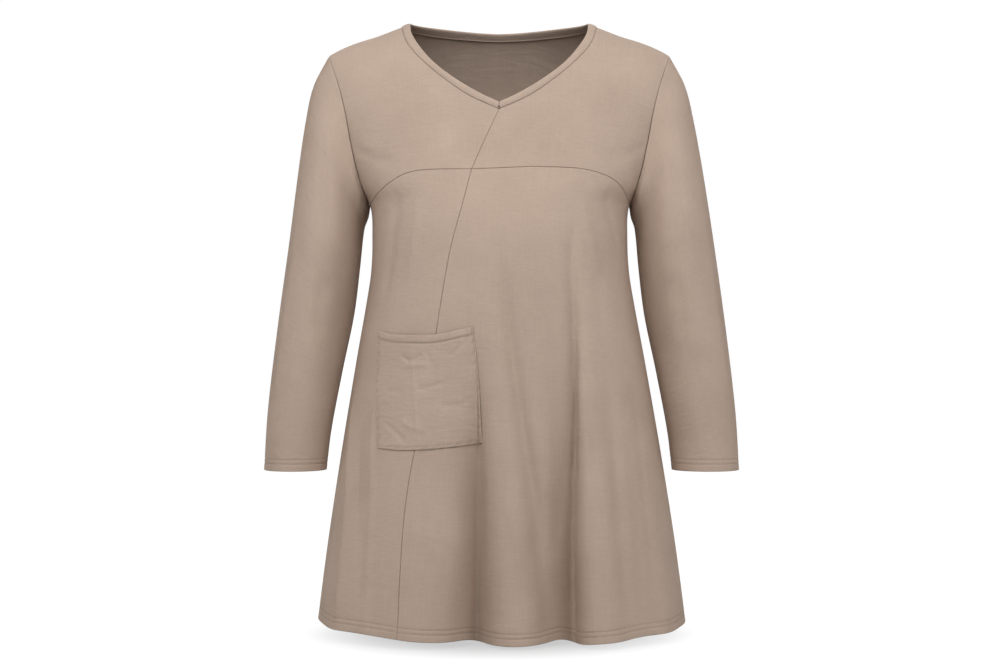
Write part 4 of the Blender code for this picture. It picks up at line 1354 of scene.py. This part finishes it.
def make_pocket(name, material):
    """A patch over the slanted seam, sewn at its sides and bottom and open at its mouth."""
    columns = shares_of(POCKET_WIDTH * MM, step=POCKET_STEP)
    rows = shares_of(POCKET_HEIGHT * MM, step=POCKET_STEP)
    grid = stretch(seam(POCKET_TOP, columns), seam(POCKET_BOTTOM, columns),
                   seam(POCKET_OUTER_SIDE, rows), seam(POCKET_INNER_SIDE, rows))
    under, normals = skin(grid)
    across, down = np.broadcast_arrays(columns[None], rows[:, None])
    mouth_slack = np.sin(math.pi * across) * (1.0 - down) ** 1.5
    inner_slack = INNER_SLACK * across**4 * down * (1 - down**6)
    lift = POCKET_CLEARANCE + POCKET_THICKNESS + POCKET_SLACK * (mouth_slack + inner_slack)
    lift = lift + dent_rise(across, down, POCKET_DENTS, POCKET_WIDTH, POCKET_HEIGHT)
    below_mouth = edge_distance(under, ["top"])
    from_row = (below_mouth - MOUTH_STITCHES) / STITCH_PULL_WIDTH
    lift = lift - MOUTH_PULL * np.exp(-(from_row**2))
    lift = lift + MOUTH_BULK * smooth_step((MOUTH_STITCHES - below_mouth) / STITCH_PULL_WIDTH)
    lift = lift - roll(edge_distance(under, ["left", "right", "top", "bottom"]), POCKET_EDGE_ROLL)
    sewn = edge_distance(under, ["left", "right", "bottom"])
    from_row = (sewn - POCKET_STITCHES) / STITCH_PULL_WIDTH
    lift = lift - SIDE_PULL * np.exp(-(from_row**2))
    around = (across * POCKET_WIDTH + down * POCKET_HEIGHT) * MM / PUCKER_LENGTH * 2 * math.pi
    wave = np.sin(around) + SECOND_HEIGHT * np.sin(SECOND_PACE * around + 1.0)
    lift = lift + PUCKER * wave * np.exp(-((sewn / PUCKER_WIDTH) ** 2)) * smooth_step(sewn / MM)
    on_cloth = np.stack([grid[..., 0] * CLOTH_RADIUS, -grid[..., 1]], -1)
    points = under + normals * lift[..., None]
    return cloth_piece(name, points, on_cloth, normals, material), points, normals


pocket, pocket_points, pocket_normals = make_pocket("pocket_cloth", pocket_jersey)

# %% [markdown]
# ## Stitches
# The hems are held with a cover stitch, and the pocket with a plain row near its edge. Each
# stitch is a tiny pressed capsule of thread, a sphere scaled long and thin, laid in the groove
# that it pulls. All stitches of one row are joined in one mesh.

# %% Sewing a row
STITCH_LENGTH = 2.6 * MM
STITCH_GAP = 0.7 * MM
THREAD_RADIUS = 0.24 * MM
PRESSED = 0.7                   # a pressed thread's height, as a share of its width
PROUD = 0.4 * THREAD_RADIUS     # how far a stitch's middle lies above the cloth


def one_stitch():
    """The points and faces of one stitch, lying along its own Z."""
    bm = bmesh.new()
    bmesh.ops.create_uvsphere(bm, u_segments=6, v_segments=4, radius=1.0)
    bmesh.ops.scale(bm, verts=bm.verts,
                    vec=(THREAD_RADIUS, THREAD_RADIUS * PRESSED, STITCH_LENGTH / 2))
    points = np.array([vert.co for vert in bm.verts])
    # Blender lists a new sphere's faces in no fixed order, so they are sorted.
    faces = sorted([vert.index for vert in face.verts] for face in bm.faces)
    bm.free()
    return points, faces


STITCH_POINTS, STITCH_FACES = one_stitch()


def sew(points, normals):
    """The points of all stitches along a line that lies on a surface with these normals."""
    along = travelled(points)
    count = int(along[-1] / (STITCH_LENGTH + STITCH_GAP))
    middles = (np.arange(count) + 0.5) * along[-1] / count
    ahead = unit(read_line(middles + STITCH_LENGTH / 2, along, points)
                 - read_line(middles - STITCH_LENGTH / 2, along, points))
    aside = unit(np.cross(ahead, read_line(middles, along, normals)))
    upward = np.cross(aside, ahead)
    turned = np.stack([aside, upward, ahead], 1)
    return read_line(middles, along, points)[:, None] + STITCH_POINTS[None] @ turned


def thread_piece(name, rows, material):
    """One joined mesh of all the stitches of some rows."""
    points = np.concatenate([sew(line, normals) for line, normals in rows])
    count, size = points.shape[:2]
    faces = [[corner + size * index for corner in face]
             for index in range(count) for face in STITCH_FACES]
    mesh = bpy.data.meshes.new(name)
    mesh.from_pydata(points.reshape(-1, 3), [], faces)
    print(name, count, "stitches")
    return new_piece(mesh, material)


# %% The hem's cover stitch
HEM_SAMPLES = 900
SUNK = STITCH_PULL - PROUD      # below the cloth beside it


def hem_row(above):
    """A line round the skirt at a height above its hem, with the directions out of it."""
    turns = np.linspace(-math.pi, math.pi, HEM_SAMPLES)
    drops = hem_drop(turns) - above
    normals = torso_normal(turns, drops)
    return torso(turns, drops) - normals * SUNK, normals


hem_stitches = thread_piece("hem_stitches", [hem_row(above) for above in HEM_STITCHES_ABOVE],
                            sewing_thread)

# %% The cuffs' cover stitch
CUFF_SAMPLES = 240


def cuff_row(side, above):
    """The same round one cuff."""
    angles = np.linspace(-math.pi, math.pi, CUFF_SAMPLES)
    edge = ring_point(side, 1.0, angles)
    upwards = unit(ring_point(side, 1.0 - CUFF_SHARE, angles) - edge)
    heights = np.array([above + MM, above, above - MM])
    band = edge[None] + upwards[None] * heights[:, None, None]
    outward = band - band.mean(axis=1, keepdims=True)
    normals = grid_normals(band, outward)[1]
    return band[1] - normals * SUNK, normals


cuff_stitches_right, cuff_stitches_left = (
    thread_piece(name, [cuff_row(side, above) for above in HEM_STITCHES_ABOVE], sewing_thread)
    for name, side in (("cuff_stitches_right", -1.0), ("cuff_stitches_left", 1.0)))

# %% The pocket's stitches
def pocket_line(side, from_side, first, last):
    """A line over the pocket, a distance in from one side, between two shares of its length."""
    points, normals = pocket_points, pocket_normals
    if side in ("left", "right"):
        points, normals = points.swapaxes(0, 1), normals.swapaxes(0, 1)
    if side in ("right", "bottom"):
        points, normals = points[::-1], normals[::-1]
    line, outward = (np.array([read_line(from_side, travelled(points[:, index]), values[:, index])
                               for index in range(points.shape[1])])
                     for values in (points, normals))
    along = travelled(line)
    share = along / along[-1]
    kept = (share >= first) & (share <= last)
    return line[kept] + PROUD * outward[kept], outward[kept]


pocket_stitches = thread_piece("pocket_stitches", [
    pocket_line("left", POCKET_STITCHES, 0.01, 0.98),
    pocket_line("right", POCKET_STITCHES, 0.01, 0.98),
    pocket_line("bottom", POCKET_STITCHES, 0.03, 0.97),
    pocket_line("top", MOUTH_STITCHES, 0.04, 0.96),
], sewing_thread)

# %% The bar tack at the V
TACK_LINES = 7
TACK_HEIGHT = 2.4 * MM
TACK_MIDDLE = -112.5 * MM
TACK_WIDTH = 3.4 * MM
TACK_OUT = 1.6 * MM             # the binding's own height over the skin
TACK_POINTS = 5                 # along each line


def tack_line(height):
    """One stitch across the mitre, with the directions out of it."""
    across = np.linspace(-TACK_WIDTH / 2, TACK_WIDTH / 2, TACK_POINTS)
    turn, drop = place(across, np.full(TACK_POINTS, height))
    normals = torso_normal(turn, drop)
    return torso(turn, drop) + normals * TACK_OUT, normals


tack_heights = TACK_MIDDLE + TACK_HEIGHT * np.linspace(-0.5, 0.5, TACK_LINES)
bar_tack = thread_piece("bar_tack", [tack_line(height) for height in tack_heights], bar_thread)

# %% [markdown]
# ## Putting the pieces in place
# Each piece rides on the part's one body and stands for its CAD solid, which is hidden. A table
# lists each piece's solid, its slot and the size of the flat cloth that it was cut from, which
# shows how much cloth the dress takes.

# %% Riding and replacing
Sheet = namedtuple("Sheet", "piece node slot width length area held with_pieces")
SHEETS = [
    Sheet(front_yoke_right, "front_yoke_right", "jersey_front", 0.17, 0.23, 0.030, "hung", []),
    Sheet(front_yoke_left, "front_yoke_left", "jersey_front", 0.21, 0.23, 0.033, "hung", []),
    Sheet(front_skirt_right, "front_skirt_right", "jersey_front", 0.24, 0.59, 0.105, "hung", []),
    Sheet(front_skirt_left, "front_skirt_left", "jersey_front", 0.46, 0.60, 0.22, "hung",
          [hem_stitches]),
    Sheet(back, "back", "jersey_back", 0.66, 0.80, 0.39, "hung", []),
    Sheet(sleeve_right, "sleeve_right", "jersey_sleeve", 0.36, 0.54, 0.142, "hung",
          [cuff_stitches_right]),
    Sheet(sleeve_left, "sleeve_left", "jersey_sleeve", 0.36, 0.54, 0.146, "hung",
          [cuff_stitches_left]),
    Sheet(neck_binding, "neck_binding", "jersey_binding", 0.026, 0.59, None, "stretched",
          [bar_tack]),
    Sheet(pocket, "pocket", "jersey_pocket", 0.135, 0.15, None, "hung", [pocket_stitches]),
]
for sheet in SHEETS:
    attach(sheet.piece, "root")
    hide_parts(sheet.node)
    for threads in sheet.with_pieces:
        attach(threads, "root")
print(len(SHEETS), "sheets of cloth")
